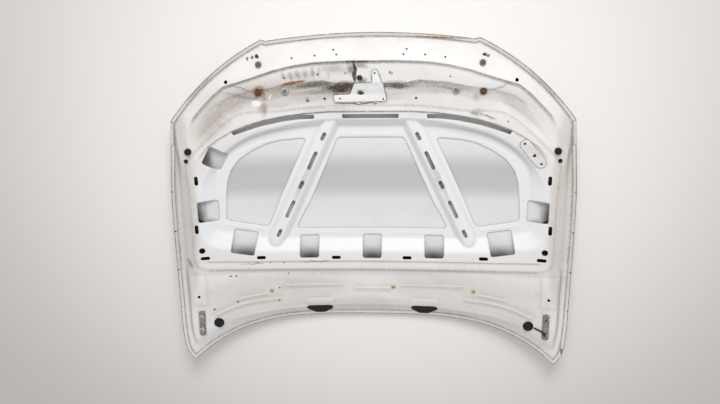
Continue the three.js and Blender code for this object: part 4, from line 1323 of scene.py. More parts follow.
@dataclass
class Palette:
    """Every material, made once."""

    panel: Material = field(default_factory=PANEL_PAINT.make)
    underside: Material = plain("panel_underside", (0.82, 0.82, 0.82), (0.70, 0.68, 0.66), roughness=0.7)
    edge: Material = plain("cut_edge", (0.62, 0.61, 0.60), (0.30, 0.26, 0.22), roughness=0.5, dust=0.6)
    outside: Material = plain(
        "outer_paint", (0.85, 0.85, 0.85), (0.78, 0.77, 0.75), roughness=0.12, grain=12.0, bump=0.02)
    hem: Material = field(default_factory=HEM_PAINT.make)
    inside: Material = field(default_factory=InsidePaint().make)
    bright: Material = plain(
        "striker_paint", (0.90, 0.90, 0.89), (0.7, 0.66, 0.6), roughness=0.4, dust=0.3, grain=60.0)
    steel: Material = plain(
        "worn_steel", (0.34, 0.33, 0.32), (0.10, 0.085, 0.07),
        roughness=0.45, metallic=0.4, dust=0.8, grain=110.0)
    bolt: Material = plain(
        "bolt_steel", (0.62, 0.61, 0.58), (0.30, 0.24, 0.18), roughness=0.45, metallic=0.3)
    rust: Material = plain(
        "rusty_steel", (0.10, 0.065, 0.045), (0.26, 0.10, 0.03), roughness=0.85, metallic=0.2, dust=0.6)
    black: Material = plain("black_rubber", (0.007, 0.006, 0.006), (0.022, 0.018, 0.015), roughness=0.8)
    grey: Material = plain("grey_rubber", (0.17, 0.17, 0.175), (0.28, 0.26, 0.24), roughness=0.65)
    plug: Material = plain("grey_plastic", (0.62, 0.62, 0.61), (0.45, 0.44, 0.42), roughness=0.5)
    yellow: Material = plain("yellow_plastic", (0.62, 0.57, 0.36), (0.5, 0.45, 0.3), roughness=0.45)
    mastic: Material = plain("mastic_bead", (0.60, 0.57, 0.50), (0.48, 0.45, 0.40), roughness=0.9, bump=0.6)


@dataclass(frozen=True)
class Slot:
    """A slot with round ends, on the right half."""

    x: float
    y: float
    length: float
    width: float
    turn: float = 0.0

    def outline(self, side: Side = Side.RIGHT) -> Outline:
        """Its outline on either half."""
        turn = self.turn if side is Side.RIGHT else math.pi - self.turn
        return Outline.slot((self.x * side.value, self.y), self.length, self.width, turn)


@dataclass(frozen=True)
class Window:
    """A rounded rectangular opening, on the right half unless it is single."""

    x: float
    y: float
    width: float
    depth: float
    turn: float = 0.0
    rounding: float = 9.0

    def outline(self, side: Side = Side.RIGHT) -> Outline:
        """Its outline on either half."""
        centre = (self.x * side.value, self.y)
        return Outline.box(centre, self.width, self.depth, self.rounding, self.turn * side.value)


@dataclass
class InnerPanel:
    """The pressed inner panel with all its openings."""

    form: PanelForm
    side_cutout: Places = (
        (223, 253), (316, 54), (322, 40), (359, -46), (373, -52), (503, -28), (509, -20), (508, -12),
        (504, 60), (497, 110), (484, 149), (453, 188), (409, 217), (360, 240), (311, 253), (232, 259),
    )
    centre_cutout: Places = ((107, 261), (117, 252), (219, 23), (230, 8), (262, -54), (256, -62))
    side_windows: tuple[Window, ...] = (
        Window(566, 9, 65, 73), Window(449, -108, 82, 81, 0.17), Window(220, -127, 66, 76),
    )
    single_windows: tuple[Window, ...] = (Window(2, -127, 65, 80), Window(-530, 197, 62, 66, -0.5))
    front_slot: Window = Window(0, 336, 188, 14, 0.0, 3.0)
    arc_slot: Places = (
        (188, 342), (235, 342), (290, 336), (368, 321), (418, 305), (466, 287),
        (460, 276), (412, 292), (364, 306), (290, 321), (235, 327), (188, 328),
    )
    rim_slots: tuple[Slot, ...] = (
        Slot(595, 122, 32, 12, math.pi / 2), Slot(606, -51, 32, 12, math.pi / 2), Slot(584, -158, 32, 12),
        Slot(390, -162, 32, 12), Slot(125, -165, 32, 12),
    )
    rib_slots: Places = ((0, 31), (73, 70), (187, 31), (264, 69), (379, 31))
    rib_slot_width: float = 13
    holes: tuple[Slot, ...] = (
        Slot(593, -130, 21, 21), Slot(470, 454, 12, 12), Slot(151, 395, 8, 8), Slot(615, -301, 10, 10),
        Slot(609, -375, 9, 9), Slot(609, -423, 9, 9), Slot(188, -360, 76, 14),
    )
    latch_hole: Slot = Slot(-33, 463, 19, 19)
    drill_holes: Places = (
        (-117, 553), (-107, 538), (-177, 535), (-252, 528), (119, 553), (109, 537), (178, 535), (242, 527),
        (-170, 475), (-79, 479), (69, 479), (-367, 535), (367, 533),
    )
    drill_radius: float = 3.1
    lip_rows: tuple[float, ...] = (1.3, 3.2, 5.5, 8.0)
    cavity_crease: float = 0.15
    outer_crease: float = 0.6
    crease_reach: float = 7.0
    crease_depth: float = 1.6
    crease_samples: int = 8
    edge_gap: float = 1.2
    fold_gap: float = 1.3
    field_gap: float = 3.7
    border_gap: float = 0.8
    hole_row: float = 1.6
    cutout_lip: tuple[float, float] = (1.2, 6)
    window_lip: tuple[float, float] = (1.0, 5)
    raised_field: Window = Window(616.5, -277, 46, 108, 0.0, 8)
    pocket: Window = Window(188, -330, 96, 22, 0.0, 8)

    def rib_slot_outlines(self, side: Side) -> list[Outline]:
        """The slots along one rib."""
        turn = math.atan2(self.form.rib_along[1], self.form.rib_along[0])
        result = []
        for start, length in self.rib_slots:
            centre = np.array(self.form.rib_start) + np.array(self.form.rib_along) * (start + length / 2)
            result.append(Slot(centre[0], centre[1], length, self.rib_slot_width, turn).outline(side))
        return result

    def cutouts(self) -> list[Outline]:
        """The three large cut-outs."""
        side = Outline.rounded(self.side_cutout, 14)
        left = [(-x, y) for x, y in reversed(self.centre_cutout)]
        return [side, side.mirrored(), Outline.rounded([*self.centre_cutout, *left], 16)]

    def windows(self) -> list[Outline]:
        """The windows in the rim round the cavity."""
        pairs = [window.outline(side) for window in self.side_windows for side in Side]
        return [*pairs, *[window.outline() for window in self.single_windows]]

    def front_slots(self) -> list[Outline]:
        """The three long slots at the cavity's front."""
        arc = Outline.rounded(self.arc_slot, 4)
        return [self.front_slot.outline(), arc, arc.mirrored()]

    def small_holes(self) -> list[Outline]:
        """Slots and round holes without a lip."""
        slots = [slot.outline(side) for slot in (*self.rim_slots, *self.holes) for side in Side]
        ribs = [outline for side in Side for outline in self.rib_slot_outlines(side)]
        reach = 2 * self.drill_radius
        drilled = [Outline.slot(place, reach, reach, step=2.0) for place in self.drill_holes]
        return [*slots, *ribs, self.latch_hole.outline(), *drilled]

    def beads(self) -> list[Relief]:
        """Beads, raised fields and raised pockets."""
        result = []
        mirrored_lines = [
            (((453, 207), (399, 236), (340, 255)), 1.2, 5),
            (((510, 153), (517, 100), (518, 46)), 1.2, 5),
            (((502, -46), (440, -57), (380, -66)), 1.2, 5),
            (((89, -80), (145, -80), (202, -80)), 1.2, 5),
            (((473, -314), (425, -306), (377, -298)), 2.0, 5),
            (((561, -371), (468, -335), (328, -315)), 2.4, 7),
        ]
        single_lines = [
            (((-64, 273), (0, 273), (70, 273)), 1.2, 5),
            (((-311, -268), (-200, -268), (-105, -268)), 1.8, 5),
            (((-57, -280), (0, -280), (65, -280)), 1.8, 5),
            (((108, -269), (200, -269), (321, -269)), 1.8, 5),
        ]
        steps = 24
        for line, rise, soft in mirrored_lines:
            path = spaced(line, steps)[:, :2]
            result += [Relief(path, rise, soft, False), Relief(path * [-1, 1], rise, soft, False)]
        for line, rise, soft in single_lines:
            result.append(Relief(spaced(line, steps)[:, :2], rise, soft, False))
        for side in Side:
            result.append(Relief(self.raised_field.outline(side).points, 1.5, 5))
            result.append(Relief(self.pocket.outline(side).points, 2.2, 8))
        return result

    def lips(self, outlines: Iterable[Outline], drop: float, reach: float) -> list[Relief]:
        """The rolled-down rims of openings."""
        return [Relief(outline.row(reach * 0.5), -drop, reach) for outline in outlines]

    def build(self, palette: Palette) -> Piece:
        """Makes the panel."""
        large = [*self.cutouts(), *self.windows(), *self.front_slots()]
        small = self.small_holes()
        self.form.reliefs.extend(self.lips(self.cutouts(), *self.cutout_lip))
        self.form.reliefs.extend(self.lips([*self.windows(), *self.front_slots()], *self.window_lip))
        self.form.reliefs.extend(self.beads())

        border = Outline(self.form.rings()[0][::-1, :2])
        holes = [*large, *small]
        cloud = Cloud([border.points, *[hole.points for hole in holes]])
        for offset in self.lip_rows:
            cloud.add(np.vstack([hole.row(offset) for hole in large]), self.edge_gap)
        cloud.add(np.vstack([hole.row(self.hole_row) for hole in small]), self.edge_gap)
        cloud.add(np.vstack([relief.rows() for relief in self.beads()]), self.edge_gap)
        cloud.add(np.vstack([ledge.rows() for ledge in self.form.ledges]), self.fold_gap)
        edges = [grime.outline.row(offset) for grime in self.grime() for offset in (-1.0, 1.0, grime.reach)]
        cloud.add(np.vstack(edges), self.fold_gap)
        cloud.add(self.form.mesh_points(), self.field_gap)
        panel = Sheet.build(
            "inner_panel_sheet", cloud.inside(border, holes, self.border_gap), border.points,
            [hole.points for hole in holes], self.form.top,
            lambda x, y: self.form.top(x, y) - self.form.thickness, self.form.skin,
        )
        self.store_dirt(panel)
        return dress(panel, (palette.panel, palette.edge, palette.underside), "white_paint", "inner_panel")

    def grime(self) -> list["Grime"]:
        """Where dirt and painted shadow line edges: round plates, along the hem and at the lips of openings.
        """
        hem = Outline(self.form.skin.inset(self.form.hem_foot)[:, :2])
        ridge = Outline(self.form.pressed(self.form.ridge_outer)[:, :2])
        # At the lips of the cut-outs and windows, and round the plates, these lines are mostly painted
        # shadow of the edges.
        lips = [Grime(outline, 2.6, 0.5) for outline in (*self.cutouts(), *self.windows())]
        lips += [Grime(Outline.slot((281 * side.value, 422), 25, 25), 3.5, 0.7) for side in Side]
        pads = [Grime(Outline.box((609 * side.value, -401), 19, 92, 9), 4, 0.7) for side in Side]
        plates = [Grime(striker_outline(), 6, 0.75), Grime(bracket_outline(), 4, 0.6)]
        return [Grime(hem, 5, 0.5), Grime(ridge, 6, 0.22), *plates, *pads, *lips]

    def store_dirt(self, panel: Piece) -> None:
        """Stores at each point how deep it lies in a crease, for painted crease shade, and how much dirt and
        painted shadow line it.
        """
        places = np.zeros(len(panel.data.vertices) * 3)
        panel.data.vertices.foreach_get("co", places)
        plan = places.reshape(-1, 3)[:, :2] / MM + [0, FRAME_SHIFT_Y]
        x, y = plan.T
        # Painted crease shade: how far each point lies below the mean height of a ring round it, weaker
        # inside the cavity.
        ring = circle(self.crease_samples) * self.crease_reach
        around = sum(self.form.over_skin(x + across, y + along) for across, along in ring)
        above = around / self.crease_samples - self.form.over_skin(x, y)
        hollow = np.clip(above / self.crease_depth, 0, 1)
        wall = Outline(self.form.pressed(self.form.wall_top)[::-1, :2])
        cavity = smoothstep(-14, 0, wall.depth(plan, 30))
        store(panel, "cavity", cavity)
        share = self.outer_crease + (self.cavity_crease - self.outer_crease) * cavity
        store(panel, "crease", hollow * share)

        soot_and_shadow = np.zeros(len(x))
        for ledge in self.form.ledges:
            soot_and_shadow = np.maximum(soot_and_shadow, ledge.dirt(x, y))
        for grime in self.grime():
            soot_and_shadow = np.maximum(soot_and_shadow, grime.strength(plan))
        store(panel, "soot_and_shadow", soot_and_shadow)


@dataclass(frozen=True)
class Grime:
    """Dirt and painted shadow that line an edge on both sides."""

    outline: Outline
    reach: float
    amount: float

    def strength(self, places: Array) -> Array:
        """How strong the dirt and painted shadow are at some places."""
        return self.amount * (1 - np.abs(self.outline.depth(places, self.reach)) / self.reach)


def striker_outline() -> Outline:
    """The striker plate's edge."""
    corners = (
        (8, 482), (13, 487), (24, 486), (36, 448), (42, 444), (54, 386),
        (-50, 384), (-118, 384), (-120, 406), (-66, 408), (-50, 445), (8, 446),
    )
    return Outline.rounded(corners, 4)


BRACKET_PLACE = (536.0, 212.0)
BRACKET_TURN = -0.87


def bracket_outline() -> Outline:
    """The prop rod bracket's edge."""
    return Outline.slot(BRACKET_PLACE, 112, 34, BRACKET_TURN)


class Cloud:
    """Collects mesh points and keeps them apart."""

    def __init__(self, loops: Sequence[Array]) -> None:
        """Starts with the loops that later points stay away from."""
        self.edges = np.vstack(loops)
        self.kept: list[Array] = []

    def add(self, points: Array, apart: float) -> None:
        """Adds the points that lie far enough from all the earlier ones."""
        earlier = np.vstack([self.edges, *self.kept])
        tree = KDTree(len(earlier))
        for index, (x, y) in enumerate(earlier.tolist()):
            tree.insert((x, y, 0), index)
        tree.balance()
        far = [tree.find((x, y, 0))[2] > apart for x, y in points.tolist()]
        self.kept.append(self.thinned(points[far], min(apart, 1.0)))

    @staticmethod
    def thinned(points: Array, apart: float) -> Array:
        """Drops points that share a small cell with an earlier one."""
        cells = np.round(points / apart).astype(int)
        first = np.unique(cells, axis=0, return_index=True)[1]
        return points[np.sort(first)]

    def inside(self, border: Outline, holes: Iterable[Outline], clear: float) -> Array:
        """The collected points that lie inside a border and outside its holes."""
        return kept_inside(np.vstack(self.kept), border, holes, clear)


@dataclass(frozen=True)
class OuterSkin:
    """The outer skin with its edge folded over the inner panel."""

    skin: SkinForm
    form: PanelForm
    thickness: float = 0.9
    lip_thickness: float = 0.9
    lip_width: float = 12.0
    lip_rows: tuple[float, ...] = (3.5, 6.0, 8.5, 10.4)
    lip_rounding: float = 0.3
    margin: float = 0.15
    fold_steps: int = 8
    fold_soot_and_shadow: float = 0.8
    lip_soot_and_shadow: float = 0.5

    def ring(self, plan: Array, height: float) -> Array:
        """Lifts a ring to a height over the skin's inner face."""
        lifted = plan.copy()
        lifted[:, 2] = self.skin.height(plan[:, 0], plan[:, 1]) + height
        return lifted

    def fold(self, low: float, high: float, inset: float) -> list[Array]:
        """Rings round the hem's fold, from its low side to its high side, at an inset from the edge."""
        radius = (high - low) / 2
        rings = []
        for angle in np.linspace(-math.pi / 2, math.pi / 2, self.fold_steps + 1):
            plan = self.skin.inset(inset + radius * (1 - math.cos(angle)))
            rings.append(self.ring(plan, (low + high) / 2 + radius * math.sin(angle)))
        return rings

    def inner_rings(self) -> list[Array]:
        """Rings over the skin's middle, from the edge inwards."""
        band = self.form.pressed(self.form.band)
        foot = self.form.pressed(self.form.wall_foot)
        start = self.skin.inset(self.lip_width + 4)
        rings = []
        for outer, inner, count in ((start, band, 3), (band, foot, 7)):
            rings.extend(outer + (inner - outer) * step / count for step in range(count))
        centre = np.array([0, self.form.floor_centre_y, 0])
        rings.extend(centre + (foot - centre) * scale for scale in np.linspace(1, 0.04, 18))
        return rings

    def build(self, palette: Palette) -> Piece:
        """Makes the skin."""
        middle = self.inner_rings()
        outside = [self.ring(ring, -self.thickness) for ring in reversed(middle)]
        lip_low = LIP_TOP - self.lip_thickness
        inner_fold = self.fold(0, lip_low, self.margin + self.thickness)[::-1]
        lip = [
            *[self.ring(self.skin.inset(distance), LIP_TOP) for distance in self.lip_rows],
            self.ring(self.skin.inset(self.lip_width - self.lip_rounding), LIP_TOP),
            self.ring(self.skin.inset(self.lip_width), LIP_TOP - self.lip_rounding),
            self.ring(self.skin.inset(self.lip_width), lip_low),
        ]
        outer_fold = self.fold(-self.thickness, LIP_TOP, self.margin)
        inside = [self.ring(ring, 0) for ring in middle]
        rings = [*outside, *outer_fold, *lip, *inner_fold, *inside]
        hem_start = len(outside) + self.fold_steps // 2
        hem_end = len(outside) + len(outer_fold) + len(lip) - 1
        made = self.loft(rings, hem_start, hem_end, palette)
        fold_top = len(outside) + self.fold_steps
        # Painted shadow mixed with dirt on the outer rounding of the hem's fold, and dirt along the lip's
        # inner edge.
        soot_and_shadow = np.zeros((len(rings), len(rings[0])))
        soot_and_shadow[fold_top - 4: fold_top + 1] = self.fold_soot_and_shadow
        soot_and_shadow[hem_end - 2: hem_end + 1] = self.lip_soot_and_shadow
        store(made, "soot_and_shadow", [*soot_and_shadow.ravel().tolist(), 0.0, 0.0])
        return made

    def loft(self, rings: Sequence[Array], hem_start: int, hem_end: int, palette: Palette) -> Piece:
        """Joins the rings into one closed sheet.

        Args:
            rings: From the outer face's middle, round the hem, to the inner face's middle.
            hem_start: The ring where the hem's finish starts.
            hem_end: The ring where it ends.
            palette: The materials.

        Returns:
            The skin.
        """
        size = len(rings[0])
        polygons = turned_over(ring_quads(len(rings), size).tolist())
        rows = np.repeat([0, 1, 2], [hem_start, hem_end - hem_start, len(rings) - 1 - hem_end])
        centre_y = self.form.floor_centre_y
        middle = self.skin.height(np.zeros(1), np.array([centre_y]))[0]
        ends = np.array([[0, centre_y, middle - self.thickness], [0, centre_y, middle]])
        low = len(rings) * size
        high = low + 1
        sides = [(index, (index + 1) % size) for index in range(size)]
        last = low - size
        polygons += [[low, a, b] for a, b in sides]
        polygons += [[high, last + b, last + a] for a, b in sides]
        kinds = np.repeat([*rows, 0, 2], size)
        vertices = self.skin.in_frame(np.vstack([*rings, ends]))
        made = Sheet.make("outer_skin_sheet", vertices, polygons, kinds)
        return dress(made, (palette.outside, palette.hem, palette.inside), "white_paint", "outer_skin")


@dataclass(frozen=True)
class Plate:
    """A flat part that lies on the panel, or under it, and follows its form.

    Attributes:
        name: The piece's name.
        node: The CAD node that it stands for.
        outline: Its edge.
        holes: The edges of its holes.
        low: Its underside's height over the panel's upper face.
        reliefs: What stands up or sinks in it.
        spread: The distance between its inner points.
        clear: How far its inner points stay off its edges.
    """

    name: str
    node: str
    outline: Outline
    holes: tuple[Outline, ...] = ()
    low: float = SEAT_GAP
    reliefs: tuple[Relief, ...] = ()
    spread: float = 4.0
    clear: float = 0.4

    def build(self, form: PanelForm, finishes: Materials, slot: str) -> Piece:
        """Makes the plate."""
        cloud = Cloud([self.outline.points, *[hole.points for hole in self.holes]])
        row = 2 * self.clear
        cloud.add(np.vstack([self.outline.row(-row), *[hole.row(row) for hole in self.holes]]), 0.5)
        if self.reliefs:
            cloud.add(np.vstack([relief.rows() for relief in self.reliefs]), 1.0)
        cloud.add(fill_points(self.outline, self.holes, self.spread, self.spread / 2), self.spread / 2)

        def top(x: Array, y: Array) -> Array:
            """The upper face's height."""
            raised = sum(relief.height(np.stack([x, y], axis=1)) for relief in self.reliefs)
            return form.top(x, y) + self.low + PLATE_THICKNESS + raised

        def bottom(x: Array, y: Array) -> Array:
            """The lower face's height."""
            return form.top(x, y) + self.low

        sheet = Sheet.build(
            self.name, cloud.inside(self.outline, self.holes, self.clear), self.outline.points,
            [hole.points for hole in self.holes], top, bottom, form.skin, EDGE_ROUNDING,
        )
        return dress(sheet, finishes, slot, self.node)


@dataclass(frozen=True)
class TurnedPiece:
    """A turned fitting whose head stands on the panel.

    Attributes:
        name: The piece's name.
        node: The CAD node that it stands for.
        place: Where it stands.
        head: Radius and height pairs over the panel, from the head's foot to its middle.
        stem: Radius of the part that goes through the panel.
        kinds: The material number of each step of the head.
        sides: The number of points round it.
        stem_depth: How far the stem reaches below the panel's upper face.
    """

    name: str
    node: str
    place: Place
    head: Places
    stem: float
    kinds: Counts = ()
    sides: int = 40
    stem_depth: float = 7.0

    def build(self, form: PanelForm, finishes: Materials, slot: str) -> Piece:
        """Makes the piece."""
        ground = form.top_at(*self.place)

        def follow(radius: float) -> Array:
            """A ring that follows the panel."""
            plan = np.array(self.place) + circle(self.sides) * radius
            height = form.top(plan[:, 0], plan[:, 1]) + SEAT_GAP
            return np.column_stack([plan, height])

        def level(radius: float, height: float) -> Array:
            """A level ring."""
            plan = np.array(self.place) + circle(self.sides) * radius
            return np.column_stack([plan, np.full(self.sides, ground + height)])

        foot = self.head[0][0]
        rings = [level(self.stem * 0.8, -self.stem_depth), level(self.stem, 1 - self.stem_depth)]
        rings += [follow(self.stem), follow(foot)]
        head_start = len(rings) - 1
        rings += [level(radius, height) for radius, height in self.head[1:]]
        kinds = np.zeros((len(rings) - 1, self.sides), int)
        shown = self.kinds[:len(kinds) - head_start]
        kinds[head_start: head_start + len(shown)] = np.array(shown, int)[:, None]
        top_kind = self.kinds[-1] if self.kinds else 0
        vertices = form.skin.in_frame(np.vstack(rings))
        polygons = tube_faces(len(rings), self.sides)
        made = Sheet.make(self.name, vertices, polygons, [1, *kinds.ravel(), top_kind])
        return dress(made, finishes, slot, self.node)


@dataclass
class Fittings:
    """Stops, plugs, bolts and clips on the panel."""

    form: PanelForm
    palette: Palette
    stop_head: Places = (
        (10.5, 0), (10.5, 4.5), (9.9, 5.6), (8.8, 7.0), (8.6, 8.6), (8.2, 9.0), (5.2, 9.0), (4.6, 8.4),
        (3.4, 8.4), (2.9, 8.9), (1.2, 8.9),
    )
    side_head: Places = (
        (11.5, 0), (11.5, 5.5), (10.9, 6.6), (9.6, 8.6), (9.3, 10.6), (8.8, 11.0), (5.6, 11.0), (5.0, 9.6),
        (1.5, 9.4),
    )
    plug_head: Places = (
        (12.0, 0), (12.0, 0.9), (11.6, 1.5), (10.4, 2.4), (9.4, 2.5), (8.9, 1.6), (8.2, 1.4), (1.5, 1.5),
    )
    small_head: Places = (
        (7.0, 0), (7.0, 1.4), (6.6, 2.4), (5.8, 3.0), (3.4, 3.0), (3.0, 2.0), (0.8, 2.0),
    )
    rear_head: Places = (
        (18.0, 0), (18.0, 1.2), (17.4, 2.2), (16.0, 3.0), (13.0, 3.0), (12.2, 1.8), (7.0, 1.6), (2.0, 1.8),
    )
    bolt_head: Places = (
        (11.0, 0), (11.0, 1.2), (10.5, 1.6), (7.2, 1.7), (7.0, 4.4), (6.2, 5.0), (4.0, 5.0), (3.6, 4.3),
        (1.0, 4.2),
    )
    clip_head: Places = (
        (9.5, 0), (9.5, 0.9), (9.0, 1.7), (7.6, 2.2), (6.4, 2.3), (5.9, 3.3), (3.4, 3.5), (2.9, 2.2),
        (0.7, 2.1),
    )

    def pair(
        self, kind: str, place: Place, head: Places, stem: float,
        finishes: Materials, slot: str, kinds: Counts = (),
    ) -> None:
        """Makes one fitting on each half.

        Args:
            kind: The start of its name.
            place: Where it stands on the right half.
            head: Its head's radius and height pairs.
            stem: Its stem's radius.
            finishes: Its materials.
            slot: The record's material slot.
            kinds: The material number of each step of the head.
        """
        for side in Side:
            node = f"{kind}_{side.word}"
            spot = (place[0] * side.value, place[1])
            TurnedPiece(f"{node}_piece", node, spot, head, stem, kinds).build(self.form, finishes, slot)

    def build(self) -> None:
        """Makes every fitting."""
        look = self.palette
        stop = (0, 0, 0, 0, 0, 0, 1, 1)
        plug = (0, 0, 0, 0, 1, 1, 1, 1)
        clip = (0, 0, 0, 0, 0, 0, 1, 1, 1)
        black, rusty = (look.black, look.black), (look.rust, look.rust)
        self.pair("front_stop", (361, 509), self.stop_head, 6, (look.grey, look.black), "grey_rubber", stop)
        self.pair("side_stop", (613, 224), self.side_head, 6, black, "black_rubber")
        self.pair("side_plug", (622, 192), self.small_head, 4, black, "grey_rubber")
        self.pair("beam_bolt", (367, 418), self.bolt_head, 4, rusty, "rusty_metal")
        self.pair("beam_plug", (281, 422), self.plug_head, 8, (look.plug, look.grey), "grey_plastic", plug)
        self.pair("rear_plug", (551, -402), self.rear_head, 14, black, "black_rubber")
        for word, place in (("left", (-358, -287)), ("centre", (77, -275)), ("right", (359, -284))):
            node = f"clip_{word}"
            piece = TurnedPiece(f"{node}_piece", node, place, self.clip_head, 3.5, clip)
            piece.build(self.form, (look.yellow, look.rust), "yellow_plastic")


@dataclass
class Plates:
    """Every plate on or under the panel.

    Attributes:
        form: The panel's form.
        palette: The materials.
        washer_corners: The straight and round edge of a washer opening's cover, on the right half.
        washer_thickness: How thick the cover is.
        bead_rise: Heights of a mastic bead's lower and upper face over the skin.
        strip_thickness: How thick a hem pad is.
        strip_soot: How dirty a hem pad's edge is.
    """

    form: PanelForm
    palette: Palette
    washer_corners: Places = (
        (150, -347), (226, -347), (236, -353), (233, -364), (206, -380), (170, -380), (143, -364),
        (140, -353),
    )
    washer_thickness: float = 1.4
    bead_rise: tuple[float, float] = (0.3, 2.3)
    strip_thickness: float = 1.2
    strip_soot_and_shadow: float = 0.9

    def striker(self) -> None:
        """Makes the striker plate."""
        screws = [Outline.slot(place, 7, 7, step=2.0) for place in ((-100, 394), (44, 392), (16, 478))]
        holes = (*screws, Outline.slot((-31, 415), 29, 17))
        plate = Plate("striker_plate_sheet", "striker_plate", striker_outline(), holes)
        plate.build(self.form, (self.palette.bright, self.palette.edge, self.palette.edge), "bright_paint")

    def prop_bracket(self) -> None:
        """Makes the prop rod bracket with its socket."""
        along = np.array([math.cos(BRACKET_TURN), math.sin(BRACKET_TURN)])
        centre = tuple(BRACKET_PLACE + along * 4)
        screws = [Outline.slot(tuple(BRACKET_PLACE + along * reach), 8, 8, step=2.0) for reach in (44, -44)]
        holes = (Outline.slot(centre, 18, 11, BRACKET_TURN), *screws)
        sunk = Relief(Outline.slot(centre, 52, 25, BRACKET_TURN).points, -1.1, 4)
        plate = Plate(
            "prop_rod_bracket_sheet", "prop_rod_bracket", bracket_outline(), holes, reliefs=(sunk,))
        plate.build(self.form, (self.palette.hem, self.palette.steel, self.palette.edge), "white_paint")

    def strip(
        self, name: str, outline: Outline, inner: Array, low: HeightAt, rise: HeightAt, edge_drop: float
    ) -> Piece:
        """Makes a sheet that lies on a lower face.

        Args:
            name: The new object's name.
            outline: Its edge.
            inner: Its inner points.
            low: Its lower face's height.
            rise: Its thickness.
            edge_drop: How far its upper face's edge is rounded down.

        Returns:
            The mesh object.
        """
        return Sheet.build(
            name, inner, outline.points, [], lambda x, y: low(x, y) + rise(x, y), low, self.form.skin,
            edge_drop,
        )

    def washer_caps(self) -> None:
        """Makes the black covers of the washer openings, which reach over the hem."""
        skin, form = self.form.skin, self.form

        def low(x: Array, y: Array) -> Array:
            """The lower face, over the panel and the hem's lip."""
            return np.maximum(form.top(x, y), skin.height(x, y) + LIP_TOP) + SEAT_GAP

        for side in Side:
            node = f"washer_cap_{side.word}"
            outline = Outline.rounded([(x * side.value, y) for x, y in self.washer_corners], 8)
            sunk = Relief(Outline.slot((188 * side.value, -362), 70, 9).points, -0.7, 3)
            inner = np.vstack([outline.row(-1.0), fill_points(outline, (), 3.0, 2.4)])
            cover = self.strip(
                f"{node}_cover", outline, inner, low,
                lambda x, y, sunk=sunk: self.washer_thickness + sunk.height(np.stack([x, y], axis=1)),
                EDGE_ROUNDING,
            )
            dress(cover, (self.palette.black,) * 3, "black_rubber", node)

    def reinforcements(self) -> None:
        """Makes the plates hidden under the panel."""
        low = -self.form.thickness - SEAT_GAP - PLATE_THICKNESS
        finish = (self.palette.edge,) * 3
        holes = (Outline.slot((-33, 463), 25, 25), Outline.slot((-151, 395), 14, 14))
        outline = Outline.box((-33, 430), 250, 130, 12)
        latch = Plate("latch_reinforcement_sheet", "latch_reinforcement", outline, holes, low)
        latch.build(self.form, finish, "white_paint")
        for side in Side:
            node = f"hinge_reinforcement_{side.word}"
            holes = tuple(Outline.slot((609 * side.value, y), 9, 9, step=2.0) for y in (-375, -423))
            outline = Outline.box((606 * side.value, -398), 44, 110, 6)
            Plate(f"{node}_sheet", node, outline, holes, low).build(self.form, finish, "white_paint")

    def mastic(self) -> None:
        """Makes the beads between the skin and the panel."""
        strips = {"front": (60, 279, 0.0), "side": (524, 70, math.pi / 2), "rear": (160, -76, 0.0)}
        low, high = self.bead_rise
        for side in Side:
            for word, (x, y, turn) in strips.items():
                node = f"mastic_{word}_{side.word}"
                outline = Outline.slot((x * side.value, y), 90, 9, turn)
                bead = self.strip(
                    f"{node}_bead", outline, fill_points(outline, (), 3.0, 1.4),
                    lambda a, b: self.form.skin.height(a, b) + low, lambda a, b: high - low, 0.6,
                )
                dress(bead, (self.palette.mastic,) * 3, "mastic", node)

    def hem_pads(self) -> None:
        """Makes the narrow pads in the hem at the shoulders."""
        for side in Side:
            node = f"hem_pad_{side.word}"
            outline = Outline.box((664.3 * side.value, 283), 9, 82, 2, 0.09 * side.value)
            pad = self.strip(
                f"{node}_strip", outline, fill_points(outline, (), 3.0, 1.2),
                lambda a, b: self.form.skin.height(a, b) + LIP_TOP + SEAT_GAP,
                lambda a, b: self.strip_thickness, 0.4,
            )
            soot_and_shadow = np.zeros(len(pad.data.vertices))
            soot_and_shadow[:len(outline.points)] = self.strip_soot_and_shadow
            store(pad, "soot_and_shadow", soot_and_shadow)
            dress(pad, (self.palette.panel, self.palette.rust, self.palette.rust), "white_paint", node)

    def build(self) -> None:
        """Makes every plate."""
        self.striker()
        self.prop_bracket()
        self.washer_caps()
        self.reinforcements()
        self.mastic()
        self.hem_pads()


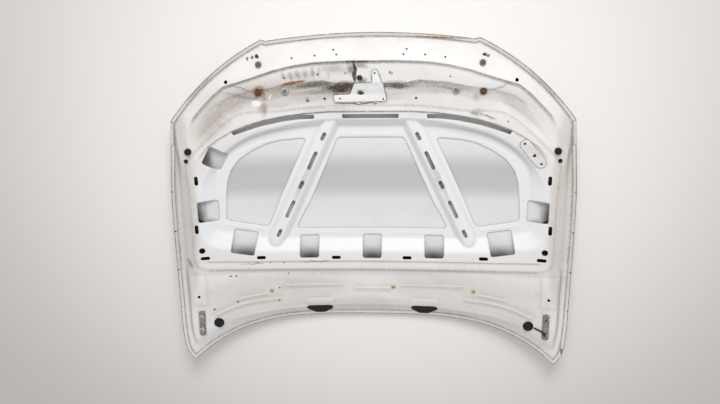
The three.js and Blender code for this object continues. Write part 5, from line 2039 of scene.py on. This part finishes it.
@dataclass
class Hinges:
    """The hinge pads, and the two bolts that stayed in the left one."""

    form: PanelForm
    palette: Palette
    x: float = 609
    y: float = -401
    seat_height: float = 90.8
    slope: float = -0.0627
    width: float = 17
    depth: float = 88
    hole: float = 8.8
    bolt_offsets: tuple[float, ...] = (26, -22)

    def seat(self, y: Array) -> Array:
        """Height of the pads' flat, tilted top."""
        return self.seat_height + self.slope * (y - self.y)

    def pad(self, side: Side) -> None:
        """Makes one pad."""
        node = f"hinge_pad_{side.word}"
        x = self.x * side.value
        outline = Outline.box((x, self.y), self.width, self.depth, 7)
        places = [(x, self.y + offset) for offset in self.bolt_offsets]
        holes = [Outline.slot(place, self.hole, self.hole, step=2.0) for place in places]
        sheet = Sheet.build(
            f"{node}_block", fill_points(outline, holes, 4.0, 1.5), outline.points,
            [hole.points for hole in holes], lambda a, b: self.seat(b),
            lambda a, b: self.form.top(a, b) + SEAT_GAP, self.form.skin, EDGE_ROUNDING,
        )
        dress(sheet, (self.palette.steel,) * 3, "bare_metal", node)

    def bolt(self, word: str, offset: float) -> None:
        """Makes one bolt: shank, round flange and a six-sided head with a chamfer."""
        steps = 48
        angle = np.arange(steps) * 2 * math.pi / steps
        fold = math.pi / 3
        hexagon = math.cos(fold / 2) / np.cos((angle % fold) - fold / 2)
        rows = [
            (4.0, -13.0, 0), (4.0, 0.3, 0), (8.0, 0.3, 0), (8.0, 1.1, 0), (7.2, 1.9, 0), (6.2, 1.9, 1),
            (6.2, 5.2, 1), (5.3, 6.0, 0), (3.2, 6.0, 0), (2.8, 5.4, 0), (0.4, 5.4, 0),
        ]
        y = self.y + offset
        ground = float(self.seat(np.array(y)))
        rings = []
        for radius, height, sided in rows:
            reach = radius * (hexagon if sided else np.ones(steps))
            plan = circle(steps) * reach[:, None] + [-self.x, y - self.slope * height]
            rings.append(np.column_stack([plan, ground + height + self.slope * (plan[:, 1] - y)]))
        vertices = self.form.skin.in_frame(np.vstack(rings))
        polygons = tube_faces(len(rings), steps)
        kinds = np.zeros(len(polygons))
        kinds[-1 - 2 * steps:] = 1
        made = Sheet.make(f"hinge_bolt_{word}_piece", vertices, polygons, kinds)
        dress(made, (self.palette.bolt, self.palette.rust), "bare_metal", f"hinge_bolt_{word}")

    def build(self) -> None:
        """Makes the pads and the bolts."""
        for side in Side:
            self.pad(side)
        for word, offset in zip(("front", "rear"), self.bolt_offsets):
            self.bolt(word, offset)


@dataclass(frozen=True)
class GroundLead:
    """The short black lead from the right rear plug to the hinge pad."""

    form: PanelForm
    radius: float = 2.8
    sides: int = 16
    route: Line = (
        (570.4, -405.4, 3.5), (576, -408, 4.2), (583, -411, 5), (590, -413, 6), (595.4, -416, 6.5),
    )
    pad_route: Places = ((600, -420), (604, -425), (607, -430))
    steps: int = 36

    def build(self, palette: Palette, hinges: Hinges) -> Piece:
        """Makes the lead as a closed tube."""
        knots = [(x, y, self.form.top_at(x, y) + over) for x, y, over in self.route]
        rise = self.radius + SEAT_GAP
        knots += [(x, y, float(hinges.seat(np.array(y))) + rise) for x, y in self.pad_route]
        line = spaced(knots, self.steps)
        along = np.gradient(line, axis=0)
        along /= np.linalg.norm(along, axis=1)[:, None]
        across = np.cross(along, [0, 0, 1])
        across /= np.linalg.norm(across, axis=1)[:, None]
        upward = np.cross(across, along)
        rings = [
            centre + self.radius * (circle(self.sides) @ np.array([a, u]))
            for centre, a, u in zip(line, across, upward)
        ]
        vertices = self.form.skin.in_frame(np.vstack(rings))
        polygons = turned_over(tube_faces(len(rings), self.sides))
        made = Sheet.make("ground_lead_tube", vertices, polygons, np.zeros(len(polygons)))
        return dress(made, (palette.black,), "black_rubber", "ground_lead")


# Stage


@dataclass(frozen=True)
class Studio:
    """The camera, the soft light and the pale floor."""

    lens: float = 32.5
    position: Place3 = (0.0853, 0.589, 2.201)
    turns: Place3 = (-15.0, 3.2669, -0.7477)
    floor_near: Color = (0.97, 0.925, 0.89)
    floor_far: Color = (0.66, 0.615, 0.585)
    floor_reach: float = 8.0
    floor_drop: float = 0.0005
    floor_light: Mark = Mark(0, 80, 1750, 1450, 0, 1.0, 0.75)
    world_color: Color = (0.97, 0.98, 1.0)
    world_strength: float = 0.6
    key_place: Place3 = (0.2, 2.5, 2.4)
    key_aim: Place3 = (0, 0.1, 0)
    key_size: float = 1.6
    key_power: float = 66.0

    def camera(self) -> None:
        """Places the camera where the photograph was taken from."""
        data = bpy.data.cameras.new("camera")
        data.lens = self.lens
        data.sensor_width = 36.0
        made = bpy.data.objects.new("camera", data)
        pitch, sway, roll = (math.radians(turn) for turn in self.turns)
        rotation = Matrix.Rotation(sway, 4, "Y") @ Matrix.Rotation(pitch, 4, "X")
        made.matrix_world = Matrix.Translation(self.position) @ rotation @ Matrix.Rotation(roll, 4, "Z")
        bpy.context.scene.collection.objects.link(made)
        bpy.context.scene.camera = made

    def key(self) -> None:
        """Adds the soft light, a square that shines on the bonnet from over its front."""
        data = bpy.data.lights.new("key", "AREA")
        data.size = self.key_size
        data.energy = self.key_power
        lamp = bpy.data.objects.new("key", data)
        lamp.location = self.key_place
        aim = Vector(self.key_aim) - Vector(self.key_place)
        lamp.rotation_euler = aim.to_track_quat("-Z", "Y").to_euler()
        bpy.context.scene.collection.objects.link(lamp)

    def world(self) -> None:
        """Fills the shadows with even, slightly cool light."""
        world = bpy.data.worlds.new("studio")
        world.use_nodes = True
        background = world.node_tree.nodes["Background"]
        background.inputs["Color"].default_value = (*self.world_color, 1)
        background.inputs["Strength"].default_value = self.world_strength
        bpy.context.scene.world = world

    def floor(self) -> None:
        """Lays a wide pale floor, with a painted pool of light: bright under the bonnet and darker further
        out.
        """
        reach = self.floor_reach
        corners = [(-reach, -reach, 0), (reach, -reach, 0), (reach, reach, 0), (-reach, reach, 0)]
        mesh = bpy.data.meshes.new("floor")
        mesh.from_pydata(corners, [], [(0, 1, 2, 3)])
        made = bpy.data.objects.new("floor", mesh)
        made.location.z = -self.floor_drop
        shader = Shader("floor")
        clear = shader.add("ShaderNodeBsdfTransparent").outputs[0]
        # A painted pool of light on the floor, fading to the darker far colour.
        spread = shader.marks([self.floor_light], shader.place)
        color = shader.mix(spread, (*self.floor_far, 1), (*self.floor_near, 1))
        pale = shader.add("ShaderNodeBsdfDiffuse", {"Color": color}).outputs[0]
        below = shader.add("ShaderNodeNewGeometry").outputs["Backfacing"]
        seen = shader.add("ShaderNodeMixShader", (below, pale, clear))
        output = shader.tree.nodes["Material Output"]
        shader.feed(output.inputs["Surface"], seen.outputs[0])
        mesh.materials.append(shader.material)
        bpy.context.scene.collection.objects.link(made)

    def build(self) -> None:
        """Sets up everything but the camera."""
        self.world()
        self.floor()
        self.key()
        bpy.context.scene.view_settings.view_transform = "Standard"


def main(frame: dict) -> None:
    """Builds the bonnet in order and reports each piece.

    Args:
        frame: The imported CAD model.
    """
    studio = Studio()
    studio.camera()
    LOG.info("CAD part: %s, %d nodes", frame["record"]["type"], len(frame["nodes"]))
    form = PanelForm(SkinForm())
    form.rasterise()
    palette = Palette()
    OuterSkin(form.skin, form).build(palette)
    InnerPanel(form).build(palette)
    Plates(form, palette).build()
    Fittings(form, palette).build()
    hinges = Hinges(form, palette)
    hinges.build()
    GroundLead(form).build(palette, hinges)
    studio.build()


if __name__ == "__main__":
    logging.basicConfig(level=logging.INFO, format="%(name)s: %(message)s")
    cad_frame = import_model()
    main(cad_frame)
